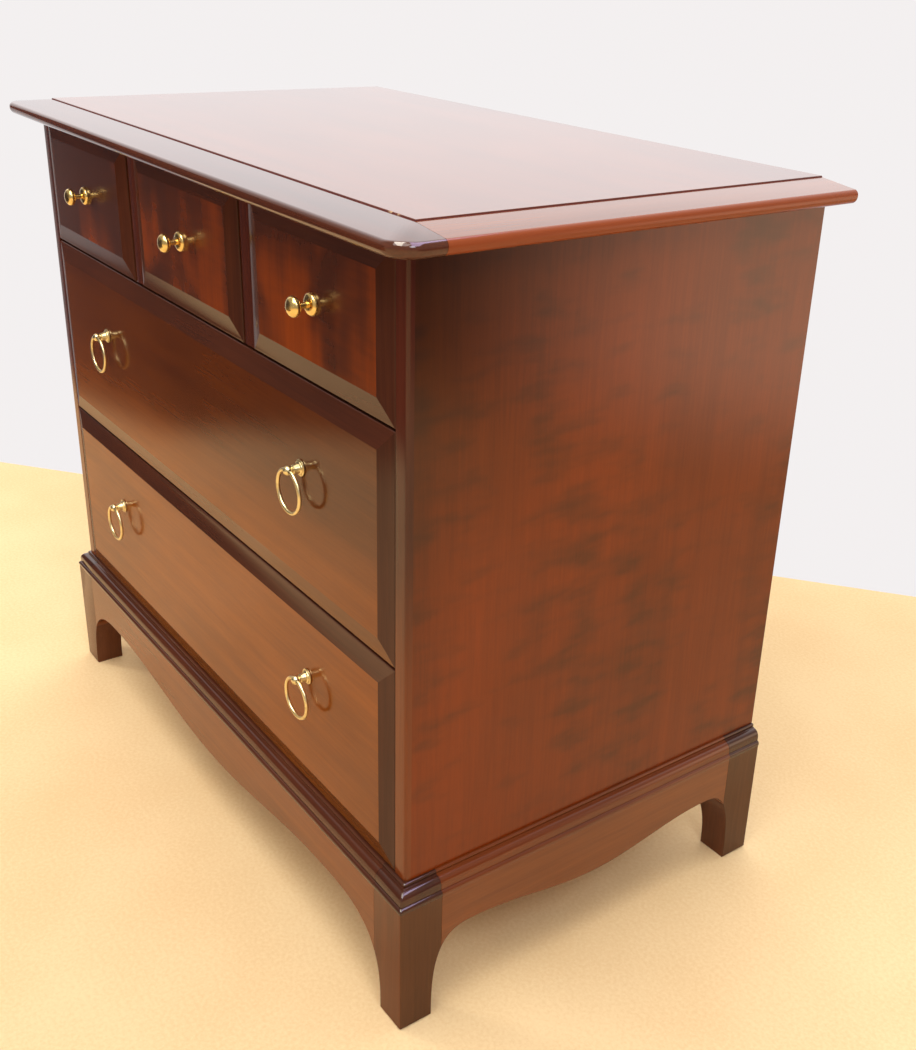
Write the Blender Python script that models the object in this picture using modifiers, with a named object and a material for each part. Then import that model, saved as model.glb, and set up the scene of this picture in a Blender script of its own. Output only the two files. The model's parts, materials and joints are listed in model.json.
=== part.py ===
"""Mahogany chest of drawers: three short drawers over two long ones, on a shaped plinth.

Everything is in metres. +Z is up, the front faces -Y and the right-hand side faces +X.
The floor is z = 0, the chest's middle is x = 0 and the middle of the top's depth is y = 0.
"""

import math

import bmesh
import bpy
from mathutils import Vector

# Clearances

SEAT_GAP = 0.0003
BESIDE_GAP = 0.0010
FRONT_GAP = 0.0025
TOP_GAP = 0.0004
PLINTH_GAP = 0.0010
DUST_BOARD_DROP = 0.0005
BEHIND_FRONT_GAP = 0.0010
DRAWER_BACK_SPACE = 0.0180
BOX_GAP = 0.0015

# Top

TOP_WIDTH = 0.820
TOP_DEPTH = 0.461
HEIGHT = 0.716
TOP_THICKNESS = 0.018
BORDER_WIDTH = 0.0405
BORDER_FALL = 0.0050
PANEL_STEP = 0.0012
TOP_ARRIS = 0.0008
TOP_CORNER_RADIUS = 0.022
NOSE_HEIGHT = 0.0078
NOSE_OVER = 0.0040
NOSE_UNDER = 0.0065
CORNER_STEPS = 8
NOSE_STEPS = 4

# Carcass

SIDE_OVERHANG = 0.033
FRONT_OVERHANG = 0.030
SIDE_THICKNESS = 0.0155
SIDE_EDGE_RADIUS = 0.003
SIDE_EDGE_STEPS = 4
BOARD_THICKNESS = 0.015
PARTITION_THICKNESS = 0.0185
PARTITION_RECESS = 0.0010
BACK_THICKNESS = 0.004
BACK_REBATE_DEPTH = 0.006
BACK_REBATE_WIDTH = 0.007
TOP_RAIL_THICKNESS = 0.018
TOP_RAIL_WIDTH = 0.060
RUNNER_THICKNESS = 0.006
RUNNER_HEIGHT = 0.0165
RUNNER_SETBACK = 0.006
RUNNER_REAR_SPACE = 0.015

# Plinth

PLINTH_HEIGHT = 0.1540
LEG_PROJECTION = 0.0125
FOOT_WIDTH = 0.043
FOOT_TAPER = 0.010
FOOT_CORNER_RADIUS = 0.0020
FOOT_CORNER_STEPS = 3
FOOT_CHAMFER = 0.0015
MOULDING_CORNER_RADIUS = 0.0007
PLINTH_RAIL_THICKNESS = 0.022
BACK_RAIL_RECESS = 0.002
BACK_RAIL_HEIGHT = 0.079
CREST_HEIGHT = 0.092
ARCH_POWER = 3.0
FRONT_ARCH_WIDTH = 0.097
FRONT_DROP_HEIGHT = 0.069
SIDE_ARCH_WIDTH = 0.0435
SIDE_DROP_HEIGHT = 0.075
ARCH_STEPS = 9
DROP_STEPS = 20
TAPER_STEPS = 7

# Plinth moulding, outwards from the carcass's face and down from the plinth's top

BEAD_OUT = 0.0028
BEAD_HEIGHT = 0.0034
BEAD_START_ANGLE = -60.0
FILLET_OUT = 0.0040
OVOLO_OUT = 0.0108
OVOLO_TOP = 0.0040
OVOLO_HEIGHT = 0.0075
FACE_HEIGHT = 0.0045
LOWER_BEAD_OUT = 0.0133
LOWER_BEAD_HEIGHT = 0.0060
QUIRK_DEPTH = 0.0006
OVOLO_STEPS = 5

# Drawers

SHORT_FRONT_HEIGHT = 0.1342
FRONT_THICKNESS = 0.015
FIELD_RISE = 0.0040
BEVEL_WIDTH = 0.0195
BEVEL_STEPS = 5
FRONT_ARRIS = 0.0007
SIDE_DROP = 0.0345
DRAWER_SIDE_THICKNESS = 0.012
DRAWER_BACK_THICKNESS = 0.012
DRAWER_BACK_DROP = 0.004
BACK_HOUSING_DEPTH = 0.004
DRAWER_BOTTOM_THICKNESS = 0.004
GROOVE_DEPTH = 0.005
GROOVE_RISE = 0.006
TAIL_LENGTH = 0.010
TAIL_NECK = 0.015
TAIL_SPLAY = 0.0017
TAIL_PITCH = 0.027
FIRST_TAIL = 0.0155
RUNNER_GROOVE_DEPTH = 0.0062

# Knobs

KNOB_LENGTH = 0.0216
KNOB_BASE_RADIUS = 0.0093
KNOB_BASE_EDGE = 0.0010
KNOB_BASE_HEIGHT = 0.0046
KNOB_NECK_RADIUS = 0.0029
KNOB_RADIUS = 0.0087
KNOB_UNDERCUT = 0.0040
KNOB_DOME = 0.0058
KNOB_CURVE_STEPS = 4
KNOB_SEGMENTS = 20

# Ring pulls

PULL_SPACING = 0.440
PULL_RISE = 0.0240
POST_LENGTH = 0.0120
FLANGE_RADIUS = 0.0074
FLANGE_EDGE = 0.0012
FLANGE_HEIGHT = 0.0028
POST_RADIUS = 0.0046
POST_SHOULDER = 0.0072
POST_SHOULDER_RADIUS = 0.0038
POST_NECK_HEIGHT = 0.0081
POST_NECK_RADIUS = 0.0030
BALL_RADIUS = 0.0042
BALL_STEPS = 6
POST_SEGMENTS = 16
RING_RADIUS = 0.0192
WIRE_RADIUS = 0.0017
RING_PLAY = 0.0004
RING_SEGMENTS = 32
WIRE_SEGMENTS = 8
BORE_SEGMENTS = 12

# Weld distance for points that meet

WELD = 0.000001

# Places worked out from the sizes

FRONT_EDGE = -TOP_DEPTH / 2
REAR_EDGE = TOP_DEPTH / 2
FRONT_PLANE = FRONT_EDGE + FRONT_OVERHANG
FIELD_PLANE = FRONT_PLANE - FIELD_RISE
FRONT_BACK = FRONT_PLANE + FRONT_THICKNESS
BOARD_FRONT = FRONT_BACK + BEHIND_FRONT_GAP
HALF_CARCASS = TOP_WIDTH / 2 - SIDE_OVERHANG
HALF_OPENING = HALF_CARCASS - SIDE_THICKNESS
BACK_FACE = REAR_EDGE - BACK_REBATE_DEPTH
BOARD_REAR = BACK_FACE - SEAT_GAP
CARCASS_BOTTOM = PLINTH_HEIGHT + SEAT_GAP
TOP_UNDERSIDE = HEIGHT - TOP_THICKNESS
CARCASS_TOP = TOP_UNDERSIDE - SEAT_GAP
SHORT_TOP = CARCASS_TOP - TOP_GAP
SHORT_BOTTOM = SHORT_TOP - SHORT_FRONT_HEIGHT
LONG_BOTTOM = PLINTH_HEIGHT + PLINTH_GAP
LONG_FRONT_HEIGHT = (SHORT_BOTTOM - LONG_BOTTOM - 2 * FRONT_GAP) / 2
UPPER_BOTTOM = LONG_BOTTOM + LONG_FRONT_HEIGHT + FRONT_GAP
DUST_BOARD_TOP = SHORT_BOTTOM - DUST_BOARD_DROP
BOTTOM_BOARD_TOP = CARCASS_BOTTOM + BOARD_THICKNESS
SHORT_BOX_RISE = DUST_BOARD_TOP + SEAT_GAP - SHORT_BOTTOM
LONG_BOX_RISE = BOTTOM_BOARD_TOP + BOX_GAP - LONG_BOTTOM
SHORT_SIDE_HEIGHT = SHORT_FRONT_HEIGHT - SHORT_BOX_RISE - SIDE_DROP
LONG_SIDE_HEIGHT = LONG_FRONT_HEIGHT - LONG_BOX_RISE - SIDE_DROP
TOP_RAIL_BOTTOM = CARCASS_TOP - TOP_RAIL_THICKNESS
SHORT_OPENING = (2 * HALF_OPENING - 2 * PARTITION_THICKNESS) / 3
SHORT_PITCH = SHORT_OPENING + PARTITION_THICKNESS
BOX_REAR = BACK_FACE - DRAWER_BACK_SPACE
OUTER_X = HALF_CARCASS + LEG_PROJECTION
OUTER_Y = FRONT_PLANE - LEG_PROJECTION
FOOT_INNER_X = OUTER_X - FOOT_WIDTH
FRONT_FOOT_INNER_Y = OUTER_Y + FOOT_WIDTH
REAR_FOOT_INNER_Y = REAR_EDGE - FOOT_WIDTH
RING_SAG = BALL_RADIUS**2 / (2 * RING_RADIUS)

# Which piece goes where

HANDS = (("left", -1), ("right", 1))
SHORT_DRAWERS = (("left", -1), ("middle", 0), ("right", 1))
LONG_DRAWERS = (("upper", UPPER_BOTTOM), ("lower", LONG_BOTTOM))

# How a flat outline is turned so that its thickness runs along an axis

QUARTER = math.pi / 2
TURNS = {"X": (QUARTER, 0.0, QUARTER), "Y": (QUARTER, 0.0, 0.0), "Z": (0.0, 0.0, 0.0)}
DIRECTIONS = {"X": Vector((1, 0, 0)), "Y": Vector((0, 1, 0)), "Z": Vector((0, 0, 1))}

# Materials: colour, roughness and metallic value

FINISHES = {
    "mahogany_veneer": ((0.27, 0.098, 0.035), 0.28, 0.0),
    "mahogany_solid": ((0.21, 0.070, 0.026), 0.30, 0.0),
    "mahogany_plinth": ((0.16, 0.060, 0.024), 0.32, 0.0),
    "brass": ((0.83, 0.60, 0.24), 0.18, 1.0),
    "pale_hardwood": ((0.62, 0.45, 0.27), 0.55, 0.0),
    "hardboard": ((0.30, 0.19, 0.10), 0.75, 0.0),
}


def make_material(name):
    """A plain finish with the colour, roughness and metallic value of one material."""
    colour, roughness, metallic = FINISHES[name]
    material = bpy.data.materials.new(name)
    material.use_nodes = True
    shader = material.node_tree.nodes["Principled BSDF"]
    shader.inputs["Base Color"].default_value = (*colour, 1.0)
    shader.inputs["Roughness"].default_value = roughness
    shader.inputs["Metallic"].default_value = metallic
    material.diffuse_color = (*colour, 1.0)
    return material


def make_collection(name):
    """A new collection in the scene."""
    collection = bpy.data.collections.new(name)
    bpy.context.scene.collection.children.link(collection)
    return collection


for item in list(bpy.data.objects):
    bpy.data.objects.remove(item, do_unlink=True)

CHEST = make_collection("chest_of_drawers")
CUTTERS = make_collection("cutters")
MATERIALS = {name: make_material(name) for name in FINISHES}


# Solids: a finish of None makes a cutter


def add_object(name, data, finish):
    """An object in the chest with its finish, or among the cutters without one."""
    piece = bpy.data.objects.new(name, data)
    if finish is None:
        CUTTERS.objects.link(piece)
        piece.hide_render = True
        piece.display_type = "WIRE"
    else:
        CHEST.objects.link(piece)
        data.materials.append(MATERIALS[finish])
    return piece


def mesh_from(mesh, name):
    """A bmesh written out as a mesh, with its points welded and its faces outwards."""
    bmesh.ops.remove_doubles(mesh, verts=mesh.verts, dist=WELD)
    bmesh.ops.recalc_face_normals(mesh, faces=mesh.faces)
    data = bpy.data.meshes.new(name)
    mesh.to_mesh(data)
    mesh.free()
    return data


def cube(low, high):
    """A cube stretched to the size between two corners, and the place of its middle."""
    low, high = Vector(low), Vector(high)
    mesh = bmesh.new()
    bmesh.ops.create_cube(mesh, size=1.0)
    bmesh.ops.scale(mesh, verts=mesh.verts, vec=high - low)
    return mesh, (low + high) / 2


def board(name, finish, low, high):
    """A plain board between two corners."""
    mesh, middle = cube(low, high)
    piece = add_object(name, mesh_from(mesh, name), finish)
    piece.location = middle
    return piece


def outline_curve(name, outline, thickness):
    """A flat closed outline with a thickness."""
    data = bpy.data.curves.new(name, "CURVE")
    data.dimensions = "2D"
    data.fill_mode = "BOTH"
    data.extrude = thickness / 2
    spline = data.splines.new("POLY")
    spline.points.add(len(outline) - 1)
    for point, (across, up) in zip(spline.points, outline):
        point.co = (across, up, 0.0, 1.0)
    spline.use_cyclic_u = True
    return bpy.data.objects.new(name, data)


def shaped_board(name, finish, axis, outline, start, end):
    """A board with an outline in the two other axes, running from start to end along one."""
    curve = outline_curve(f"{name}_outline", outline, end - start)
    curve.rotation_euler = TURNS[axis]
    curve.location = DIRECTIONS[axis] * (start + end) / 2
    CUTTERS.objects.link(curve)
    finished = curve.evaluated_get(bpy.context.evaluated_depsgraph_get())
    matrix = finished.matrix_world.copy()
    filled = bpy.data.meshes.new_from_object(finished)
    mesh = bmesh.new()
    mesh.from_mesh(filled)
    piece = add_object(name, mesh_from(mesh, name), finish)
    piece.matrix_world = matrix
    bpy.data.objects.remove(curve, do_unlink=True)
    bpy.data.meshes.remove(filled)
    return piece


def loft(name, finish, rings):
    """A closed solid through rings of equal length, flat at both ends."""
    mesh = bmesh.new()
    loops = [[mesh.verts.new(point) for point in ring] for ring in rings]
    for lower, upper in zip(loops, loops[1:]):
        for here, there in zip(range(len(lower)), [*range(1, len(lower)), 0]):
            mesh.faces.new((lower[here], lower[there], upper[there], upper[here]))
    mesh.faces.new(loops[0])
    mesh.faces.new(loops[-1])
    return add_object(name, mesh_from(mesh, name), finish)


def cut(piece, cutter):
    """Take a cutter out of a piece."""
    modifier = piece.modifiers.new(cutter.name, "BOOLEAN")
    modifier.operation = "DIFFERENCE"
    modifier.solver = "EXACT"
    modifier.object = cutter


def turned_profile(name, profile):
    """A profile of (radius, height) points, from the tip down the outside to the seat."""
    mesh = bmesh.new()
    points = [mesh.verts.new((radius, 0.0, height)) for radius, height in profile]
    for pair in zip(points, points[1:]):
        mesh.edges.new(pair)
    data = bpy.data.meshes.new(name)
    mesh.to_mesh(data)
    mesh.free()
    data.materials.append(MATERIALS["brass"])
    return data


def turned_piece(name, profile_mesh, segments, seat):
    """A turned brass piece that stands forwards from its seat on a drawer front."""
    piece = bpy.data.objects.new(name, profile_mesh)
    CHEST.objects.link(piece)
    piece.location = seat
    piece.rotation_euler = TURNS["Y"]
    lathe = piece.modifiers.new("lathe", "SCREW")
    lathe.axis = "Z"
    lathe.angle = 2 * math.pi
    lathe.steps = segments
    lathe.render_steps = segments
    lathe.use_merge_vertices = True
    lathe.merge_threshold = WELD
    lathe.use_smooth_shade = True
    return piece


def arc(steps, start=0.0, end=90.0):
    """Cosine and sine of evenly spaced angles, in degrees."""
    angles = [math.radians(start + (end - start) * step / steps) for step in range(steps + 1)]
    return [(math.cos(angle), math.sin(angle)) for angle in angles]


def carry(name, spot, pieces):
    """Parent pieces to an empty at a spot, without moving them."""
    holder = bpy.data.objects.new(f"{name}_origin", None)
    holder.location = spot
    CHEST.objects.link(holder)
    for piece in pieces:
        piece.parent = holder
        piece.location = piece.location - Vector(spot)


# Top


def border_profile():
    """Points (in from the edge, height) round a border: step, slope, nose and underside."""
    inner = BORDER_WIDTH - SEAT_GAP
    high = HEIGHT - PANEL_STEP
    nose = TOP_UNDERSIDE + NOSE_HEIGHT
    slope = BORDER_FALL / BORDER_WIDTH
    shoulder = high - slope * (BORDER_WIDTH - NOSE_OVER)
    over = [
        (NOSE_OVER * (1 - across), nose + (shoulder - nose) * rise)
        for across, rise in reversed(arc(NOSE_STEPS))
    ]
    under = [
        (NOSE_UNDER * (1 - across), nose - NOSE_HEIGHT * fall)
        for across, fall in arc(NOSE_STEPS)
    ]
    step = [(inner, high - TOP_ARRIS), (inner - TOP_ARRIS, high)]
    return step + over + under[1:] + [(inner, TOP_UNDERSIDE)]


def build_front_border():
    """The full-width front border: its section turns both front corners on a small radius."""
    profile = border_profile()
    middle_x = TOP_WIDTH / 2 - TOP_CORNER_RADIUS
    middle_y = FRONT_EDGE + TOP_CORNER_RADIUS
    end_y = FRONT_EDGE + BORDER_WIDTH - SEAT_GAP

    def corner_point(side, inset, across, forward):
        left = TOP_CORNER_RADIUS - inset
        if left > 0:
            return side * (middle_x + left * across), middle_y - left * forward
        return side * (middle_x + left), middle_y - left

    def corner_section(side, across, forward):
        return [
            (*corner_point(side, inset, across, forward), height) for inset, height in profile
        ]

    def end_section(side):
        return [(side * (TOP_WIDTH / 2 - inset), end_y, height) for inset, height in profile]

    right = [corner_section(1, *turned) for turned in arc(CORNER_STEPS)]
    left = [corner_section(-1, *turned) for turned in reversed(arc(CORNER_STEPS))]
    sections = [end_section(1), *right, *left, end_section(-1)]
    loft("top_border_front", "mahogany_solid", sections)


def build_side_borders():
    """The two side borders, which butt against the front one."""
    start = FRONT_EDGE + BORDER_WIDTH
    for hand, side in HANDS:
        outline = [(side * (TOP_WIDTH / 2 - inset), height) for inset, height in border_profile()]
        shaped_board(f"top_border_{hand}", "mahogany_solid", "Y", outline, start, REAR_EDGE)


def build_top_panel():
    """The veneered panel, a step higher than its borders, with a small arris beside them."""
    half = TOP_WIDTH / 2 - BORDER_WIDTH
    front = FRONT_EDGE + BORDER_WIDTH
    mesh, middle = cube((-half, front, TOP_UNDERSIDE), (half, REAR_EDGE, HEIGHT))

    def meets_a_border(edge):
        first, last = (point.co + middle for point in edge.verts)
        on_top = min(first.z, last.z) > HEIGHT - TOP_ARRIS
        at_rear = min(first.y, last.y) > REAR_EDGE - TOP_ARRIS
        return on_top and not at_rear

    arrises = [edge for edge in mesh.edges if meets_a_border(edge)]
    bmesh.ops.bevel(mesh, geom=arrises, offset=TOP_ARRIS, segments=1, affect="EDGES")
    panel = add_object("top_panel", mesh_from(mesh, "top_panel"), "mahogany_veneer")
    panel.location = middle


# Carcass


def build_side_panels():
    """The two sides, with a rounded front arris and a rebate for the back."""
    round_x = HALF_CARCASS - SIDE_EDGE_RADIUS
    round_y = FRONT_PLANE + SIDE_EDGE_RADIUS
    rebate_x = HALF_OPENING + BACK_REBATE_WIDTH
    outline = [(HALF_OPENING, FRONT_PLANE)]
    outline += [
        (round_x + SIDE_EDGE_RADIUS * across, round_y - SIDE_EDGE_RADIUS * forward)
        for forward, across in arc(SIDE_EDGE_STEPS)
    ]
    outline += [
        (HALF_CARCASS, REAR_EDGE),
        (rebate_x, REAR_EDGE),
        (rebate_x, BOARD_REAR),
        (HALF_OPENING, BOARD_REAR),
    ]
    for hand, side in HANDS:
        shaped_board(
            f"side_panel_{hand}",
            "mahogany_veneer",
            "Z",
            [(side * x, y) for x, y in outline],
            CARCASS_BOTTOM,
            CARCASS_TOP,
        )


def build_boards():
    """Bottom board, dust board, top rail and back."""
    half = HALF_OPENING - SEAT_GAP
    board(
        "bottom_board",
        "pale_hardwood",
        (-half, BOARD_FRONT, CARCASS_BOTTOM),
        (half, BOARD_REAR, BOTTOM_BOARD_TOP),
    )
    board(
        "dust_board",
        "pale_hardwood",
        (-half, BOARD_FRONT, DUST_BOARD_TOP - BOARD_THICKNESS),
        (half, BOARD_REAR, DUST_BOARD_TOP),
    )
    board(
        "top_front_rail",
        "pale_hardwood",
        (-half, BOARD_FRONT, TOP_RAIL_BOTTOM),
        (half, BOARD_FRONT + TOP_RAIL_WIDTH, CARCASS_TOP),
    )
    wide = HALF_OPENING + BACK_REBATE_WIDTH - SEAT_GAP
    board(
        "back_panel",
        "hardboard",
        (-wide, BACK_FACE, CARCASS_BOTTOM),
        (wide, BACK_FACE + BACK_THICKNESS, CARCASS_TOP),
    )


def build_partitions():
    """The upright boards between the short drawers, notched round the top rail."""
    front = FRONT_PLANE + PARTITION_RECESS
    notch_front = BOARD_FRONT - SEAT_GAP
    notch_rear = BOARD_FRONT + TOP_RAIL_WIDTH + SEAT_GAP
    notch_bottom = TOP_RAIL_BOTTOM - SEAT_GAP
    foot = DUST_BOARD_TOP + SEAT_GAP
    outline = [
        (front, foot),
        (BOARD_REAR, foot),
        (BOARD_REAR, CARCASS_TOP),
        (notch_rear, CARCASS_TOP),
        (notch_rear, notch_bottom),
        (notch_front, notch_bottom),
        (notch_front, CARCASS_TOP),
        (front, CARCASS_TOP),
    ]
    half = PARTITION_THICKNESS / 2
    for hand, side in HANDS:
        middle = side * SHORT_PITCH / 2
        name = f"partition_{hand}"
        shaped_board(name, "mahogany_solid", "X", outline, middle - half, middle + half)


def runner_middle(front_bottom):
    """The height of the middle of a long drawer's runners."""
    return front_bottom + LONG_BOX_RISE + LONG_SIDE_HEIGHT / 2


def build_runners():
    """The strips on the carcass's sides that carry the long drawers."""
    front = BOARD_FRONT + RUNNER_SETBACK
    rear = BOX_REAR - RUNNER_REAR_SPACE
    for level, bottom in LONG_DRAWERS:
        low = runner_middle(bottom) - RUNNER_HEIGHT / 2
        high = low + RUNNER_HEIGHT
        for hand, side in HANDS:
            faces = (side * (HALF_OPENING - SEAT_GAP), side * (HALF_OPENING - RUNNER_THICKNESS))
            board(
                f"runner_{level}_{hand}",
                "pale_hardwood",
                (min(faces), front, low),
                (max(faces), rear, high),
            )


# Plinth


def moulding_profile():
    """Points (out from the carcass's face, height) up the plinth's moulding."""
    bead_radius = BEAD_HEIGHT / 2
    bead_middle = PLINTH_HEIGHT - bead_radius
    ovolo_top = PLINTH_HEIGHT - OVOLO_TOP
    ovolo_bottom = ovolo_top - OVOLO_HEIGHT
    face_bottom = ovolo_bottom - FACE_HEIGHT
    lower_radius = LOWER_BEAD_HEIGHT / 2
    lower_middle = face_bottom - lower_radius
    quirk = OVOLO_OUT - QUIRK_DEPTH
    lower = [
        (quirk + (LOWER_BEAD_OUT - quirk) * out, lower_middle + lower_radius * rise)
        for out, rise in arc(OVOLO_STEPS - 1)
    ]
    ovolo = [
        (FILLET_OUT + (OVOLO_OUT - FILLET_OUT) * out, ovolo_bottom + OVOLO_HEIGHT * rise)
        for out, rise in arc(OVOLO_STEPS)
    ]
    bead = [
        (BEAD_OUT - bead_radius + bead_radius * out, bead_middle + bead_radius * rise)
        for out, rise in arc(OVOLO_STEPS, BEAD_START_ANGLE, 90.0)
    ]
    points = [(LEG_PROJECTION, face_bottom - LOWER_BEAD_HEIGHT), *lower]
    points += [(OVOLO_OUT, face_bottom), *ovolo, (FILLET_OUT, ovolo_top + SEAT_GAP)]
    return points + bead


def arch_inset(height, arch_width):
    """How far an arch's edge stands in from the foot at the floor, at some height."""
    share = min(height / CREST_HEIGHT, 1.0)
    return arch_width * (1 - (1 - share**ARCH_POWER) ** (1 / ARCH_POWER))


def arch_height(inset, arch_width):
    """The height of an arch's edge at some distance in from the foot at the floor."""
    share = 1 - inset / arch_width
    return CREST_HEIGHT * (1 - share**ARCH_POWER) ** (1 / ARCH_POWER)


def foot_width(height, arch_width):
    """A foot's width at some height, on the side where it meets a rail."""
    narrow = FOOT_WIDTH - FOOT_TAPER
    return min(FOOT_WIDTH, narrow + arch_inset(height, arch_width))


def foot_section(side, outwards, height, radius, at_front):
    """One level of a foot: three plain corners and a rounded outer one."""
    outer_x = HALF_CARCASS + outwards
    inner_x = OUTER_X - foot_width(height, FRONT_ARCH_WIDTH)
    deep = foot_width(height, SIDE_ARCH_WIDTH)
    if at_front:
        outer_y, inner_y, way = FRONT_PLANE - outwards, OUTER_Y + deep, -1
    else:
        outer_y, inner_y, way = REAR_EDGE, REAR_EDGE - deep, 1
    rounded = [
        (outer_x - radius + radius * out, outer_y - way * radius + way * radius * along)
        for out, along in arc(FOOT_CORNER_STEPS)
    ]
    corners = [(outer_x, inner_y), *rounded, (inner_x, outer_y), (inner_x, inner_y)]
    return [(side * x, y, height) for x, y in corners]


def build_feet():
    """Four feet, each with its arch's start on two sides and the moulding round its top."""
    moulding = moulding_profile()
    joints = sorted(
        arch_height(FOOT_TAPER, width) for width in (FRONT_ARCH_WIDTH, SIDE_ARCH_WIDTH)
    )
    levels = [FOOT_CHAMFER]
    levels += [joints[0] * step / TAPER_STEPS for step in range(1, TAPER_STEPS + 1)]
    levels += [(joints[0] + joints[1]) / 2, joints[1]]
    for hand, side in HANDS:
        for end, at_front in (("front", True), ("back", False)):
            rounding = FOOT_CORNER_RADIUS if at_front else MOULDING_CORNER_RADIUS
            sole = foot_section(side, LEG_PROJECTION - FOOT_CHAMFER, 0.0, rounding, at_front)
            leg = [
                foot_section(side, LEG_PROJECTION, height, rounding, at_front)
                for height in levels
            ]
            cap = [
                foot_section(side, out, height, MOULDING_CORNER_RADIUS, at_front)
                for out, height in moulding
            ]
            loft(f"plinth_foot_{end}_{hand}", "mahogany_plinth", [sole, *leg, *cap])


def rail_edge(start, end, arch_width, drop_height):
    """Points (along, height) of a rail's shaped lower edge between two feet."""
    middle = (start + end) / 2
    half = (end - start) / 2
    reach = arch_width - FOOT_TAPER
    crest = half - reach
    points = []
    for step in range(ARCH_STEPS + 1):
        along = reach * (step / ARCH_STEPS) ** 2
        points.append((half - along, arch_height(FOOT_TAPER + along, arch_width)))
    for step in range(1, DROP_STEPS // 2 + 1):
        along = crest * (1 - 2 * step / DROP_STEPS)
        swing = math.cos(math.pi * along / crest)
        points.append((along, drop_height + (CREST_HEIGHT - drop_height) * (1 - swing) / 2))
    mirrored = [(-along, height) for along, height in reversed(points[:-1])]
    return [(middle + along, height) for along, height in points + mirrored]


def build_shaped_rail(name, axis, face, way, reach, arch_width, drop_height):
    """A moulded rail on a face of the carcass, its lower edge shaped between two feet."""
    back = LEG_PROJECTION - PLINTH_RAIL_THICKNESS
    low = min(drop_height, arch_height(FOOT_TAPER, arch_width)) - FOOT_TAPER
    section = [(back, low), (LEG_PROJECTION, low), *moulding_profile(), (back, PLINTH_HEIGHT)]
    outline = [(face + way * out, height) for out, height in section]
    start, end = reach
    rail = shaped_board(
        name, "mahogany_plinth", axis, outline, start + SEAT_GAP, end - SEAT_GAP
    )
    edge = rail_edge(start, end, arch_width, drop_height)
    below = [(edge[0][0], 0.0), *edge, (edge[-1][0], 0.0)]
    through = PLINTH_RAIL_THICKNESS + LEG_PROJECTION
    across = "Y" if axis == "X" else "X"
    cut(rail, shaped_board(f"{name}_arches", None, across, below, face - through, face + through))


def build_plinth_rails():
    """Three shaped and moulded rails, and a plain one at the back."""
    build_shaped_rail(
        "plinth_rail_front",
        "X",
        FRONT_PLANE,
        -1,
        (-FOOT_INNER_X, FOOT_INNER_X),
        FRONT_ARCH_WIDTH,
        FRONT_DROP_HEIGHT,
    )
    for hand, side in HANDS:
        build_shaped_rail(
            f"plinth_rail_{hand}",
            "Y",
            side * HALF_CARCASS,
            side,
            (FRONT_FOOT_INNER_Y, REAR_FOOT_INNER_Y),
            SIDE_ARCH_WIDTH,
            SIDE_DROP_HEIGHT,
        )
    half = FOOT_INNER_X - SEAT_GAP
    rear = REAR_EDGE - BACK_RAIL_RECESS
    board(
        "plinth_rail_back",
        "mahogany_plinth",
        (-half, rear - PLINTH_RAIL_THICKNESS, PLINTH_HEIGHT - BACK_RAIL_HEIGHT),
        (half, rear, PLINTH_HEIGHT),
    )


# Drawers


def build_drawer_front(name, middle, bottom, width, height):
    """A raised and fielded front: a board whose face is inset in steps, up a hollow bevel."""
    half = width / 2
    mesh, centre = cube(
        (middle - half, FRONT_PLANE + FRONT_ARRIS, bottom),
        (middle + half, FRONT_BACK, bottom + height),
    )
    face = min(mesh.faces, key=lambda side: side.calc_center_median().y)
    stride = (BEVEL_WIDTH - FRONT_ARRIS) / BEVEL_STEPS
    steps = [(FRONT_ARRIS, FRONT_ARRIS)]
    for step in range(BEVEL_STEPS):
        lift = FIELD_RISE * ((step + 1) ** 2 - step**2) / BEVEL_STEPS**2
        steps.append((stride, lift))
    for inwards, forwards in steps:
        bmesh.ops.inset_individual(
            mesh, faces=[face], thickness=inwards, depth=forwards, use_even_offset=True
        )
    name = f"{name}_front"
    front = add_object(name, mesh_from(mesh, name), "mahogany_veneer")
    front.location = centre
    return front


def tail_middles(bottom, height):
    """Heights of the middles of the dovetails at the end of a drawer side."""
    room = height - FIRST_TAIL - TAIL_SPLAY
    count = max(1, int(room / TAIL_PITCH))
    pitch = room / count
    return [bottom + FIRST_TAIL + pitch * (number + 0.5) for number in range(count)]


def tail_outline(middle, mouth, tip, spare):
    """Four points (y, z) round one dovetail, or round its socket with spare room."""
    corners = []
    for y in (mouth, tip):
        splay = TAIL_SPLAY * (FRONT_BACK - y) / TAIL_LENGTH
        corners.append((y, TAIL_NECK / 2 + splay + spare))
    (mouth_y, neck), (tip_y, wide) = corners
    return [
        (mouth_y, middle - neck),
        (tip_y, middle - wide),
        (tip_y, middle + wide),
        (mouth_y, middle + neck),
    ]


def cut_trench(piece, name, near, far, y, z):
    """Cut a straight trench, between two places across, two along and two up."""
    low = (min(near, far), y[0], z[0])
    high = (max(near, far), y[1], z[1])
    cut(piece, board(f"{piece.name}_{name}", None, low, high))


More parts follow.
